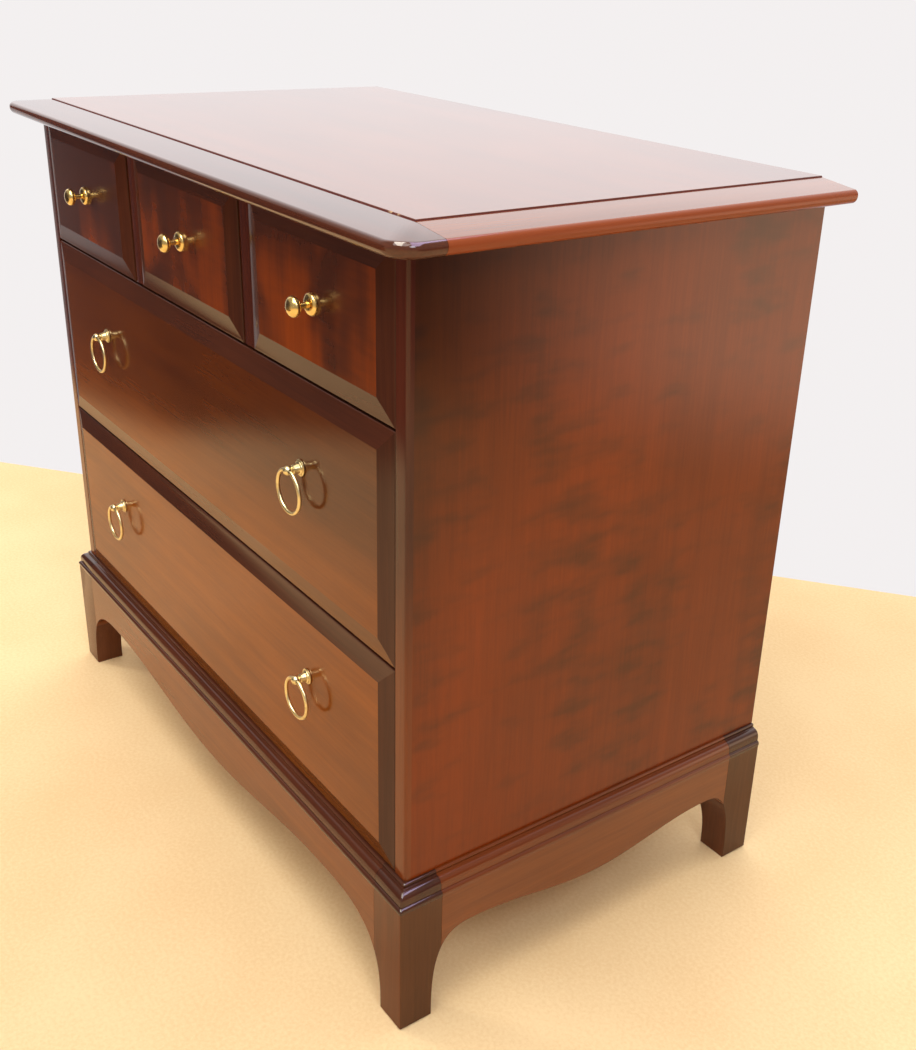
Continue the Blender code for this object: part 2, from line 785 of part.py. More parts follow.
def build_drawer_side(name, hand, outer, side, bottom, height, groove_middle):
    """One side: tails at the front, grooves for the bottom and back, and for a runner."""
    shoulder = FRONT_BACK + SEAT_GAP
    tip = FRONT_BACK - TAIL_LENGTH
    outline = [(BOX_REAR, bottom), (shoulder, bottom)]
    for middle in tail_middles(bottom, height):
        outline += tail_outline(middle, shoulder, tip, 0.0)
    outline += [(shoulder, bottom + height), (BOX_REAR, bottom + height)]
    inner = outer - side * DRAWER_SIDE_THICKNESS
    piece = shaped_board(
        f"{name}_side_{hand}", "pale_hardwood", "X", outline, min(inner, outer), max(inner, outer)
    )
    past = side * BESIDE_GAP
    base = bottom + GROOVE_RISE
    slot = (base - SEAT_GAP, base + DRAWER_BOTTOM_THICKNESS + SEAT_GAP)
    ends = (tip - BESIDE_GAP, BOX_REAR + BESIDE_GAP)
    cut_trench(piece, "bottom_groove", inner - past, inner + side * GROOVE_DEPTH, ends, slot)
    housing = (BOX_REAR - DRAWER_BACK_THICKNESS - SEAT_GAP, BOX_REAR + BESIDE_GAP)
    tall = (slot[1] + SEAT_GAP, bottom + height + BESIDE_GAP)
    cut_trench(
        piece, "back_housing", inner - past, inner + side * BACK_HOUSING_DEPTH, housing, tall
    )
    if groove_middle is not None:
        half = RUNNER_HEIGHT / 2 + SEAT_GAP
        along = (FRONT_BACK + BEHIND_FRONT_GAP, BOX_REAR + BESIDE_GAP)
        band = (groove_middle - half, groove_middle + half)
        deep = outer - side * RUNNER_GROOVE_DEPTH
        cut_trench(piece, "runner_groove", deep, outer + past, along, band)
    return piece


def cut_front_joints(front, middle, half, box_bottom, side_height):
    """The groove for the bottom and the sockets for the tails, in the back of a front."""
    inner = half - DRAWER_SIDE_THICKNESS
    base = box_bottom + GROOVE_RISE
    reach = inner + GROOVE_DEPTH
    depth = (FRONT_BACK - GROOVE_DEPTH, FRONT_BACK + BESIDE_GAP)
    slot = (base - SEAT_GAP, base + DRAWER_BOTTOM_THICKNESS + SEAT_GAP)
    cut_trench(front, "groove", middle - reach, middle + reach, depth, slot)
    for hand, side in HANDS:
        across = (middle + side * (inner - SEAT_GAP), middle + side * (half + BESIDE_GAP))
        for number, height in enumerate(tail_middles(box_bottom, side_height)):
            outline = tail_outline(
                height, FRONT_BACK + BESIDE_GAP, FRONT_BACK - TAIL_LENGTH - SEAT_GAP, SEAT_GAP
            )
            name = f"{front.name}_socket_{hand}_{number}"
            cut(front, shaped_board(name, None, "X", outline, min(across), max(across)))


def build_drawer(name, middle, bottom, opening, front_height, box_rise, side_height, groove):
    """A whole drawer on its own empty, closed."""
    width = opening - 2 * BESIDE_GAP
    half = width / 2
    inner = half - DRAWER_SIDE_THICKNESS
    box_bottom = bottom + box_rise
    front = build_drawer_front(name, middle, bottom, width, front_height)
    cut_front_joints(front, middle, half, box_bottom, side_height)
    pieces = [front]
    for hand, side in HANDS:
        outer = middle + side * half
        pieces.append(
            build_drawer_side(name, hand, outer, side, box_bottom, side_height, groove)
        )
    base = box_bottom + GROOVE_RISE
    slot_top = base + DRAWER_BOTTOM_THICKNESS + SEAT_GAP
    back_half = inner + BACK_HOUSING_DEPTH - SEAT_GAP
    pieces.append(
        board(
            f"{name}_back",
            "pale_hardwood",
            (middle - back_half, BOX_REAR - DRAWER_BACK_THICKNESS, slot_top + SEAT_GAP),
            (middle + back_half, BOX_REAR, box_bottom + side_height - DRAWER_BACK_DROP),
        )
    )
    panel_half = inner + GROOVE_DEPTH - SEAT_GAP
    pieces.append(
        board(
            f"{name}_bottom",
            "pale_hardwood",
            (middle - panel_half, FRONT_BACK - GROOVE_DEPTH + SEAT_GAP, base),
            (middle + panel_half, BOX_REAR, base + DRAWER_BOTTOM_THICKNESS),
        )
    )
    carry(name, (middle, FRONT_PLANE, bottom), pieces)


def build_drawers():
    """Three short drawers above two long ones."""
    for hand, number in SHORT_DRAWERS:
        build_drawer(
            f"short_{hand}",
            number * SHORT_PITCH,
            SHORT_BOTTOM,
            SHORT_OPENING,
            SHORT_FRONT_HEIGHT,
            SHORT_BOX_RISE,
            SHORT_SIDE_HEIGHT,
            None,
        )
    for level, bottom in LONG_DRAWERS:
        build_drawer(
            f"long_{level}",
            0.0,
            bottom,
            2 * HALF_OPENING,
            LONG_FRONT_HEIGHT,
            LONG_BOX_RISE,
            LONG_SIDE_HEIGHT,
            runner_middle(bottom),
        )


# Handles


def knob_profile():
    """From the tip over the dome, under the head, down the neck and out to the base disc."""
    rim = KNOB_LENGTH - KNOB_DOME
    under = KNOB_RADIUS - KNOB_NECK_RADIUS
    flare = KNOB_BASE_RADIUS - KNOB_NECK_RADIUS
    rise = KNOB_BASE_HEIGHT - KNOB_BASE_EDGE
    curve = arc(KNOB_CURVE_STEPS)
    dome = [(KNOB_RADIUS * out, rim + KNOB_DOME * up) for out, up in reversed(curve)]
    head = [
        (KNOB_NECK_RADIUS + under * out, rim - KNOB_UNDERCUT * down) for out, down in curve[1:]
    ]
    base = [
        (KNOB_NECK_RADIUS + flare * out, KNOB_BASE_EDGE + rise * up) for out, up in reversed(curve)
    ]
    return dome + head + base + [(KNOB_BASE_RADIUS, 0.0), (0.0, 0.0)]


def build_knobs():
    """One brass knob in the middle of each short drawer."""
    profile = turned_profile("knob", knob_profile())
    height = SHORT_BOTTOM + SHORT_FRONT_HEIGHT / 2
    for hand, number in SHORT_DRAWERS:
        seat = (number * SHORT_PITCH, FIELD_PLANE - SEAT_GAP, height)
        turned_piece(f"knob_{hand}", profile, KNOB_SEGMENTS, seat)


def post_profile():
    """From the tip of the ball down the neck and the body and out to the flange."""
    meeting = math.degrees(math.asin(POST_NECK_RADIUS / BALL_RADIUS)) - 90.0
    ball = [
        (BALL_RADIUS * out, POST_LENGTH + BALL_RADIUS * up)
        for out, up in arc(BALL_STEPS, 90.0, meeting)
    ]
    return [
        *ball,
        (POST_NECK_RADIUS, POST_NECK_HEIGHT),
        (POST_SHOULDER_RADIUS, POST_SHOULDER),
        (POST_RADIUS, FLANGE_HEIGHT),
        (FLANGE_RADIUS, FLANGE_EDGE),
        (FLANGE_RADIUS, 0.0),
        (0.0, 0.0),
    ]


def build_pulls():
    """Two ring pulls on each long drawer: a post with a drilled ball, and its ring."""
    profile = turned_profile("pull_post", post_profile())
    seat_y = FIELD_PLANE - SEAT_GAP
    for level, bottom in LONG_DRAWERS:
        height = bottom + LONG_FRONT_HEIGHT / 2 + PULL_RISE
        for hand, side in HANDS:
            x = side * PULL_SPACING / 2
            name = f"pull_post_{level}_{hand}"
            post = turned_piece(name, profile, POST_SEGMENTS, (x, seat_y, height))
            axis_point = Vector((x, seat_y - POST_LENGTH, height))
            cut(post, build_bore(f"{name}_bore", axis_point))
            build_ring(f"pull_ring_{level}_{hand}", axis_point)


def build_bore(name, middle):
    """The round bore across a post's ball, with a little play round the wire."""
    mesh = bmesh.new()
    radius = WIRE_RADIUS + RING_PLAY
    bmesh.ops.create_cone(
        mesh,
        cap_ends=True,
        segments=BORE_SEGMENTS,
        radius1=radius,
        radius2=radius,
        depth=2 * FLANGE_RADIUS,
    )
    bore = add_object(name, mesh_from(mesh, name), None)
    bore.rotation_euler = TURNS["X"]
    bore.location = middle
    return bore


def build_ring(name, axis_point):
    """A ring that hangs through its post's ball, on an empty at the ball's middle."""
    hang = Vector((0.0, 0.0, RING_RADIUS - RING_SAG / 2))
    bpy.ops.mesh.primitive_torus_add(
        location=axis_point - hang,
        rotation=TURNS["Y"],
        major_segments=RING_SEGMENTS,
        minor_segments=WIRE_SEGMENTS,
        major_radius=RING_RADIUS,
        minor_radius=WIRE_RADIUS,
    )
    ring = bpy.context.object
    ring.name = name
    ring.data.name = name
    ring.data.shade_smooth()
    ring.data.materials.append(MATERIALS["brass"])
    for collection in list(ring.users_collection):
        collection.objects.unlink(ring)
    CHEST.objects.link(ring)
    carry(name, axis_point, [ring])


build_top_panel()
build_front_border()
build_side_borders()
build_side_panels()
build_boards()
build_partitions()
build_runners()
build_feet()
build_plinth_rails()
build_drawers()
build_knobs()
build_pulls()
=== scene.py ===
# %% [markdown]
# # A mahogany chest of drawers
# The chest has a veneered top in a solid frame, three short drawers over two long ones, and a
# moulded plinth on four shaped feet. Its working model is already made: this lesson loads it,
# gives each board its wood and its lacquer, and remakes the edges, mouldings and brasses finely.

# %% Load the chest
import json
import math

import bmesh
import bpy
from mathutils import Matrix, Vector


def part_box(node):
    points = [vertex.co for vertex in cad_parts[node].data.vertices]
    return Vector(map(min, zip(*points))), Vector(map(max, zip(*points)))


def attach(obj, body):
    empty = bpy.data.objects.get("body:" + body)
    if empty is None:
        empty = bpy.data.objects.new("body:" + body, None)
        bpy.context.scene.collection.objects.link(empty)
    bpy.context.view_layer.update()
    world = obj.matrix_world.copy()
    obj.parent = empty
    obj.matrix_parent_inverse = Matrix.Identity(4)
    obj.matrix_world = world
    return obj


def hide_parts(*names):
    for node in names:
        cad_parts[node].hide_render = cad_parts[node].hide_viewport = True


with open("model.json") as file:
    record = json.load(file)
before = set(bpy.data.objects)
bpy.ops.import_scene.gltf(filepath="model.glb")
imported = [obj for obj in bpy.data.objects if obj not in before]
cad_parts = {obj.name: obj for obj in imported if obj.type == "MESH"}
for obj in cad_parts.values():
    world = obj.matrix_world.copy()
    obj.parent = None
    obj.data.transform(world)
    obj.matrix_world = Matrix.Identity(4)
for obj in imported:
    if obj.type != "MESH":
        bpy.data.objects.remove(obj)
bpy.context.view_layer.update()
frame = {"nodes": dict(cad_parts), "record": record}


RECORD = frame["record"]
BODY_OF = {node: body for body, nodes in RECORD["behaviour"]["bodies"].items() for node in nodes}

# %% [markdown]
# ## The camera
# The photograph was taken from the front right, a little above the top. The camera stands where
# a lens of this length shows the same corners in the same places, and it leans by two degrees
# because the photograph does.

# %% Place the camera
CAMERA_PLACE = (1.0777, -0.6522, 0.8865)
CAMERA_YAW = math.radians(52.35)
CAMERA_PITCH = math.radians(-24.21)
CAMERA_ROLL = math.radians(2.29)
LENS_MM = 42.38
SENSOR_MM = 36.0
SHIFT = (-0.0422, -0.0204)


def add_object(name, data):
    """A new object in the scene that shows a lens, a mesh or a lamp."""
    item = bpy.data.objects.new(name, data)
    bpy.context.scene.collection.objects.link(item)
    return item


lens = bpy.data.cameras.new("camera")
lens.lens = LENS_MM
lens.sensor_width = SENSOR_MM
lens.shift_x, lens.shift_y = SHIFT
camera = add_object("camera", lens)
camera.matrix_world = (
    Matrix.Translation(CAMERA_PLACE)
    @ Matrix.Rotation(CAMERA_YAW, 4, "Z")
    @ Matrix.Rotation(math.pi / 2 + CAMERA_PITCH, 4, "X")
    @ Matrix.Rotation(CAMERA_ROLL, 4, "Z")
)
bpy.context.scene.camera = camera
bpy.context.scene.view_settings.view_transform = "Standard"
print("the lens is", LENS_MM, "mm long and the camera stands", CAMERA_PLACE[2], "m up")

# %% [markdown]
# ## Sums on a shader
# A finish is a sum of masks: grain, figure, pores and wear. Writing those sums with nodes alone
# is hard to read, so a small class wraps a socket and lets plain operators add the Math nodes.

# %% A value that takes part in sums
def sum_by(operation, swapped=False):
    """A method that makes a Math node of a value and what it is put together with."""

    def method(value, other=0.0):
        first, second = (other, value) if swapped else (value, other)
        return value.finish.node("ShaderNodeMath", {"operation": operation}, {0: first, 1: second})

    return method


class Value:
    """One output socket, which plain operators turn into Math nodes."""

    def __init__(self, finish, socket):
        self.finish = finish
        self.socket = socket

    __add__ = sum_by("ADD")
    __sub__ = sum_by("SUBTRACT")
    __rsub__ = sum_by("SUBTRACT", swapped=True)
    __mul__ = sum_by("MULTIPLY")
    __abs__ = sum_by("ABSOLUTE")
    least = sum_by("MINIMUM")
    most = sum_by("MAXIMUM")

    def between(self, low, high):
        """0 below low, 1 above high and smooth in between; the other way round if low > high."""
        swapped = low > high
        ends = (high, low) if swapped else (low, high)
        stops = {1: ends[0], 2: ends[1], 3: float(swapped), 4: float(not swapped)}
        settings = {"interpolation_type": "SMOOTHSTEP"}
        return self.finish.node("ShaderNodeMapRange", settings, {0: self, **stops})


class Recipe:
    """The nodes of a material, or of the world."""

    def __init__(self, tree):
        self.tree = tree

    def feed(self, node, inputs):
        for key, value in inputs.items():
            if isinstance(value, Value):
                self.tree.links.new(value.socket, node.inputs[key])
            else:
                node.inputs[key].default_value = value

    def node(self, kind, settings=None, inputs=None, output=0):
        made = self.tree.nodes.new(kind)
        for key, value in (settings or {}).items():
            setattr(made, key, value)
        self.feed(made, inputs or {})
        return Value(self, made.outputs[output])

    def blend(self, mask, first, second, way="MIX"):
        """A colour that goes from the first to the second as the mask goes from 0 to 1."""
        settings = {"data_type": "RGBA", "blend_type": way}
        return self.node("ShaderNodeMix", settings, {0: mask, 6: first, 7: second}, 2)


class Finish(Recipe):
    """A material that is being mixed, with its one Principled shader."""

    def __init__(self, name, **fixed):
        self.material = bpy.data.materials.new(name)
        self.material.use_nodes = True
        super().__init__(self.material.node_tree)
        self.shader = self.tree.nodes["Principled BSDF"]
        self.paint(**fixed)

    def paint(self, **inputs):
        """Feed the shader's inputs, named with low lines for the spaces in their names."""
        names = {key.replace("_", " "): value for key, value in inputs.items()}
        self.feed(self.shader, names)

    def axes(self):
        """The three coordinates of the surface point, in metres."""
        place = self.node("ShaderNodeTexCoord", output="Object")
        return [self.node("ShaderNodeSeparateXYZ", None, {0: place}, axis) for axis in range(3)]

    def noise(self, place, counts, detail=2.0, rough=0.5, wild=0.0):
        """Cloudy noise with so many clouds to a metre of each of three coordinates."""
        parts = [part * count for part, count in zip(place, counts)]
        spot = self.node("ShaderNodeCombineXYZ", None, dict(enumerate(parts)))
        quality = {"Detail": detail, "Roughness": rough, "Distortion": wild}
        return self.node("ShaderNodeTexNoise", None, {"Vector": spot, "Scale": 1.0, **quality})

    def stretched(self, place, along, across, **quality):
        """Noise with so many clouds to a metre along the grain and across it."""
        return self.noise(place, (along, across, across), **quality)

    def relief(self, height, depth, strength=1.0):
        """A bump of some depth in metres, fed to the shader's normal."""
        inputs = {"Height": height, "Distance": depth, "Strength": strength}
        self.paint(Normal=self.node("ShaderNodeBump", None, inputs))


print("the sums are ready")

# %% [markdown]
# ## Mahogany
# Mahogany shows several things at once: long fibres, short dark pores and broad ribbons where
# the grain leans. Each is a noise stretched along the grain by its own amount. The clear lacquer
# over it is the shader's coat, as on the real chest, and in places painted shade or a painted
# highlight is laid on last.

# %% Mix a mahogany
LACQUER_ROUGHNESS = 0.13
LACQUER_IOR = 1.5
GRAIN_AXES = {"X": (0, 1, 2), "Y": (1, 0, 2), "Z": (2, 0, 1)}


def along_grain(axes, grain):
    """The same coordinates, with the one that runs along the grain first."""
    return [axes[number] for number in GRAIN_AXES[grain]]


def shade(red, green, blue):
    return (red, green, blue, 1.0)


PORE = shade(0.035, 0.012, 0.006)


def mahogany(name, grain, light, dark, figure=None, ribbon=0.3, gloss=LACQUER_ROUGHNESS, coat=1.0,
             last=None):
    """Lacquered mahogany with its grain along one axis."""
    finish = Finish(name, Coat_Weight=coat, Coat_Roughness=gloss, Coat_IOR=LACQUER_IOR,
                    Specular_IOR_Level=0.0)
    axes = finish.axes()
    along, across, through = place = along_grain(axes, grain)
    bend = finish.stretched(place, 1.6, 5.0) - 0.5
    place = along, across + bend * 0.022, through + bend * 0.013
    ribbons = finish.stretched(place, 1.8, 62.0, rough=0.55)
    fibres = finish.stretched(place, 14.0, 420.0, detail=3.0, rough=0.6)
    pores = finish.stretched(place, 75.0, 1500.0, detail=1.0).between(0.60, 0.72)
    clouds = finish.stretched(place, 5.0, 9.0)
    tone = (ribbons - 0.5) * ribbon * 2.0 + (fibres - 0.5) * 0.55 + (clouds - 0.5) * 0.7 + 0.5
    wood = finish.blend(tone.between(0.0, 1.0), light, dark)
    if figure:
        wood = figure(finish, wood, place)
    wood = finish.blend(pores * 0.12, wood, PORE)
    rough = fibres * 0.12 + 0.36
    finish.paint(Base_Color=wood, Roughness=rough)
    finish.relief(fibres * 0.3 - pores * 0.15, depth=0.000012)
    if last:
        last(finish, wood, *axes)
    return finish.material


print("mahogany can be mixed")

# %% [markdown]
# ## Figure
# Good veneer has a figure of its own. The sides show soft dark smudges in upright chains, and the
# short fronts glow in flames between dark streaks. Each figure is a sum of stretched noises that
# masks a darker colour in, before the pores go on top.

# %% Draw the figures
SMUDGE = shade(0.070, 0.018, 0.005)
STREAK = shade(0.056, 0.015, 0.007)
FLAME_HEIGHT = 0.625


def mottled(finish, wood, place):
    """Soft dark smudges in chains along the grain."""
    chain = finish.stretched(place, 2.5, 14.0, detail=1.0)
    smudge = finish.stretched(place, 48.0, 19.0)
    feather = finish.stretched(place, 190.0, 45.0, detail=1.0)
    mask = smudge + (chain - 0.5) * 0.8 + (feather - 0.5) * 0.12
    return finish.blend(mask.between(0.42, 0.86) * 0.7, wood, SMUDGE)


def flamed(finish, wood, place):
    """Lobes that glow low on the front between soft dark streaks, with a ripple across."""
    along, across, through = place
    lobes = finish.stretched(place, 10.0, 11.0, detail=1.5, wild=0.5)
    streaks = finish.stretched(place, 6.0, 60.0, detail=1.5)
    ripple = finish.stretched(place, 160.0, 20.0, detail=1.0)
    low = (FLAME_HEIGHT - along) * 2.2 + across * 0.45
    glow = lobes + low + (streaks - 0.5) * 0.25 + (ripple - 0.5) * 0.1
    return finish.blend(glow.between(0.40, 0.85), STREAK, wood)


print("two figures drawn")

# %% [markdown]
# ## Painted shade and wear
# Painted shade darkens the fronts higher up, the side towards its upper front corner and the feet
# on their outer faces. Multiplying the wood by a tint does that. The panel's edges have a painted
# shadow line and a few pale chips of wear, and the side borders' noses a painted warm highlight.

# %% Paint the shade, the shadow line and the highlight, and chip the panel
# Painted shade on the fronts, the lipping and the lower bevels: darker and cooler higher up.
HIGH_SHADE_HEIGHTS = (0.345, 0.495)
HIGH_SHADE_TINT = shade(0.42, 0.41, 0.90)
# Painted shade on the side, darker and cooler towards its upper front corner.
CORNER_SHADE_SPAN = (-0.10, 0.20)
CORNER_HEIGHT, CORNER_SLANT = 0.68, 0.75
CORNER_SHADE_TINT = shade(0.25, 0.42, 1.0)
# A painted shadow line in the gap round the top's panel, red below it.
LINE_EDGES = (0.0005, 0.0002)
LINE_DEPTHS = (0.0009, 0.0006)
GAP_SHADOW_INK = shade(0.010, 0.004, 0.003)
LINE_RED = shade(0.230, 0.050, 0.045)
CHIP_EDGES = (0.0018, 0.0004)
CHIP_ENDS = ((0.037, 0.030), (0.018, 0.025))
CHIP_WOOD = shade(0.55, 0.36, 0.20)
# A painted warm highlight along the side borders' noses.
NOSE_HIGHLIGHT_EDGES = (0.0042, 0.0030)
NOSE_HIGHLIGHT_WOOD = shade(0.31, 0.062, 0.020)
# Painted shade on the feet's outer faces.
CHEEK_EDGES = (0.0016, 0.0011)
CHEEK_SHADE = shade(0.72, 0.84, 0.86)
PANEL_LOW, PANEL_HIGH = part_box("top_panel")


def near_edge(coordinate, edge, distances, inwards=-1):
    """From 0 to 1 between two distances in from an edge."""
    return coordinate.between(*(edge + inwards * distance for distance in distances))


def paint_shade(finish, wood, mask, tint):
    """Painted shade: multiply the wood by a tint as far as a mask reaches."""
    finish.paint(Base_Color=finish.blend(mask, wood, tint, "MULTIPLY"))


def shade_higher_up(finish, wood, x, y, z):
    """Painted shade: the wood darker and cooler from the long drawers up to the short ones."""
    paint_shade(finish, wood, z.between(*HIGH_SHADE_HEIGHTS), HIGH_SHADE_TINT)


def shade_side_corner(finish, wood, x, y, z):
    """Painted shade, cool, that darkens the side towards its upper front corner under the top."""
    corner = (z - CORNER_HEIGHT) * CORNER_SLANT - y
    paint_shade(finish, wood, corner.between(*CORNER_SHADE_SPAN), CORNER_SHADE_TINT)


def panel_edge(finish, wood, x, y, z):
    """Painted shadow round the panel, red below, and worn chips near the front's right end."""
    beside = near_edge(abs(x), PANEL_HIGH[0], LINE_EDGES)
    line = beside.most(near_edge(y, PANEL_LOW[1], LINE_EDGES, 1))
    top = near_edge(z, PANEL_HIGH[2], LINE_DEPTHS)
    flakes = finish.noise((x, y, z), (150.0,) * 3).between(0.42, 0.50)
    start, end = (near_edge(x, PANEL_HIGH[0], distances) for distances in CHIP_ENDS)
    chips = near_edge(y, PANEL_LOW[1], CHIP_EDGES, 1) * start * end * flakes
    # Painted shadow in the gap round the panel.
    wood = finish.blend(line, wood, finish.blend(top, LINE_RED, GAP_SHADOW_INK))
    wood = finish.blend(chips, wood, CHIP_WOOD)
    cover = 1.0 - line.most(chips) * 0.9
    finish.paint(Base_Color=wood, Coat_Weight=cover)


def nose_highlight(finish, wood, x, y, z):
    """A painted warm highlight along the nose, where its lacquer is also thinner."""
    highlit = near_edge(abs(x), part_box("top_border_right")[1][0], NOSE_HIGHLIGHT_EDGES)
    bright = finish.blend(highlit * 0.6, wood, NOSE_HIGHLIGHT_WOOD)
    finish.paint(Base_Color=bright, Coat_Weight=1.0 - highlit * 0.45)


def shaded_cheek(finish, wood, x, y, z):
    """Painted shade: the outer face of a foot, darker than its front."""
    cheek = near_edge(abs(x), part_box("plinth_foot_front_right")[1][0], CHEEK_EDGES)
    paint_shade(finish, wood, cheek, CHEEK_SHADE)


# The shade, the shadow line and the highlight are painted; the chips are wear.
print("the polish can be aged")

# %% [markdown]
# ## Every mahogany on the chest
# Each kind of board has two colours and a weight of lacquer of its own, since veneer, solid wood
# and stained wood take the polish differently. Two pairs are painted shade: a dark one on the
# front border and the front moulding, and a darker one on the bevels above and beside the fields
# and on the feet's moulding. The short fronts' grain stands upright.

# %% Mix every mahogany
SIDE_COLOURS = shade(0.222, 0.033, 0.002), shade(0.120, 0.019, 0.002)
BELOW_COLOURS = shade(0.185, 0.058, 0.010), shade(0.105, 0.031, 0.007)
FIELD_COLOURS = shade(0.262, 0.064, 0.004), shade(0.145, 0.034, 0.004)
GLOW_COLOURS = shade(0.265, 0.047, 0.003), shade(0.150, 0.027, 0.003)
# The darkest pair is painted shade, for the bevels above and beside the fields and the feet's
# moulding.
SHADED_COLOURS = shade(0.085, 0.024, 0.011), shade(0.038, 0.013, 0.008)
TOP_COLOURS = shade(0.215, 0.050, 0.013), shade(0.105, 0.024, 0.008)
SOLID_COLOURS = shade(0.210, 0.046, 0.009), shade(0.100, 0.022, 0.006)
RAIL_COLOURS = shade(0.240, 0.062, 0.013), shade(0.125, 0.031, 0.008)
FOOT_COLOURS = shade(0.165, 0.048, 0.016), shade(0.090, 0.027, 0.010)
# A dark pair painted as shade, for the front border and the front moulding.
SHADED_FRONT_COLOURS = shade(0.115, 0.030, 0.012), shade(0.050, 0.015, 0.008)

# The last steps paint shade on the side, the lipping, the long fronts, the lower bevels and the
# feet, a shadow line round the top's panel and a highlight on the side borders' noses.
SIDE_VENEER = mahogany("side_veneer", "Z", *SIDE_COLOURS, mottled, ribbon=0.2, coat=0.75,
                       last=shade_side_corner)
TOP_VENEER = mahogany("top_veneer", "X", *TOP_COLOURS, last=panel_edge)
LIPPING = mahogany("lipping", "Z", *SOLID_COLOURS, coat=0.8, last=shade_higher_up)
BEVEL_BELOW = mahogany("bevel_below", "X", *BELOW_COLOURS, coat=0.6, last=shade_higher_up)
BEVEL_ABOVE = mahogany("bevel_above", "X", *SHADED_COLOURS, coat=0.7)
BEVEL_BESIDE = mahogany("bevel_beside", "Z", *SHADED_COLOURS, coat=0.55)
FIELD_SHORT = mahogany("field_of_short_fronts", "Z", *GLOW_COLOURS, flamed, gloss=0.2, coat=0.8)
FIELD_LONG = mahogany("field_of_long_fronts", "X", *FIELD_COLOURS, coat=0.7, last=shade_higher_up)
FRONT_BORDER = mahogany("front_border", "X", *SHADED_FRONT_COLOURS, gloss=0.07)
SIDE_BORDER = mahogany("side_border", "Y", *RAIL_COLOURS, last=nose_highlight)
RAIL_FRONT = mahogany("plinth_rail_along", "X", *RAIL_COLOURS, coat=0.85)
RAIL_SIDE = mahogany("plinth_rail_across", "Y", *RAIL_COLOURS)
FOOT = mahogany("stained_foot_shaded_cheek", "Z", *FOOT_COLOURS, coat=0.6, last=shaded_cheek)
MOULDING_FRONT = mahogany("moulding_along", "X", *SHADED_FRONT_COLOURS, coat=0.8)
MOULDING_SIDE = mahogany("moulding_across", "Y", *SOLID_COLOURS)
MOULDING_ON_FEET = mahogany("moulding_on_feet", "X", *SHADED_COLOURS, gloss=0.07)
print("mahogany in", len(bpy.data.materials), "finishes")

# %% [markdown]
# ## Pale wood and pressed board
# Inside, the drawer boxes and boards are plain sanded hardwood, with no lacquer: pale, dry and
# finely grained. The back is brown pressed board, a mat of fibres with no direction, so its noise
# isn't stretched.

# %% Mix the pale wood and the pressed board
PALE_LIGHT, PALE_DARK = shade(0.66, 0.47, 0.27), shade(0.47, 0.30, 0.15)
BOARD_DARK, BOARD_LIGHT = shade(0.17, 0.095, 0.048), shade(0.33, 0.21, 0.12)


def pale_wood(name, grain):
    """Sanded pale hardwood with its grain along one axis."""
    finish = Finish(name)
    along, across, through = place = along_grain(finish.axes(), grain)
    bend = finish.stretched(place, 2.0, 6.0) - 0.5
    place = along, across + bend * 0.03, through
    rings = finish.stretched(place, 1.5, 90.0, detail=3.0)
    fibres = finish.stretched(place, 30.0, 900.0)
    tone = rings * 0.6 + fibres * 0.4
    wood = finish.blend(tone.between(0.3, 0.7), PALE_LIGHT, PALE_DARK)
    finish.paint(Base_Color=wood, Roughness=fibres * 0.2 + 0.5)
    finish.relief(fibres, depth=0.0001, strength=0.6)
    return finish.material


def pressed_board():
    """Brown hardboard: a mat of short fibres, darker in patches."""
    finish = Finish("pressed_board")
    place = finish.axes()
    fibres = finish.noise(place, (900.0,) * 3, detail=4.0, rough=0.7, wild=1.5)
    patches = finish.noise(place, (7.0,) * 3, detail=3.0)
    tone = fibres * 0.8 + patches * 0.25
    brown = finish.blend(tone.between(0.3, 0.75), BOARD_DARK, BOARD_LIGHT)
    finish.paint(Base_Color=brown, Roughness=fibres * 0.3 + 0.55)
    finish.relief(fibres, depth=0.00015)
    return finish.material


PALE_WOOD = {grain: pale_wood(f"pale_wood_along_{grain}", grain) for grain in "XYZ"}
PRESSED_BOARD = pressed_board()
print("plain woods mixed")

# %% [markdown]
# ## Brass
# The knobs are a warm polished brass, and the rings and posts are paler from handling. Metal has
# no colour but its reflection, so the detail lies in its roughness: fine rubbing and dull spots.

# %% Mix the brass
def brass(name, bright, dull, roughness):
    """Lacquered brass with a rubbed, slightly spotted polish."""
    finish = Finish(name, Metallic=1.0)
    place = finish.axes()
    patches = finish.noise(place, (220.0,) * 3, detail=3.0)
    rubbing = finish.noise(place, (3000.0, 500.0, 3000.0))
    tarnish = patches.between(0.5, 0.75)
    metal = finish.blend(tarnish * 0.6, bright, dull)
    rough = tarnish * 0.14 + rubbing * 0.06 + roughness
    finish.paint(Base_Color=metal, Roughness=rough)
    finish.relief(rubbing * 0.5 + patches, depth=0.00002)
    return finish.material


KNOB_BRASS = brass("knob_brass", shade(0.86, 0.62, 0.24), shade(0.66, 0.44, 0.16), 0.19)
RING_BRASS = brass("ring_brass", shade(0.84, 0.69, 0.37), shade(0.62, 0.48, 0.24), 0.26)
print("brass mixed")

# %% [markdown]
# ## Making a piece
# Every new piece is shaped as a bmesh in the chest's own frame, then written out once: doubles
# welded, faces turned outwards, round faces smooth. It rides on the body of the board it stands
# for, so it slides or swings with it.

# %% Helpers that start, round and finish a piece
LARGE_FACE = 0.0015
WELD = 0.000002
TOUCH = 0.0001
UPRIGHT_RISE = 0.005
SHARP_DEGREES = 32.0
SIDES = {"left": -1, "right": 1}


def move(mesh, way, points=None):
    """Move some points of a bmesh, or all of them."""
    bmesh.ops.translate(mesh, verts=points or mesh.verts, vec=Vector(way))


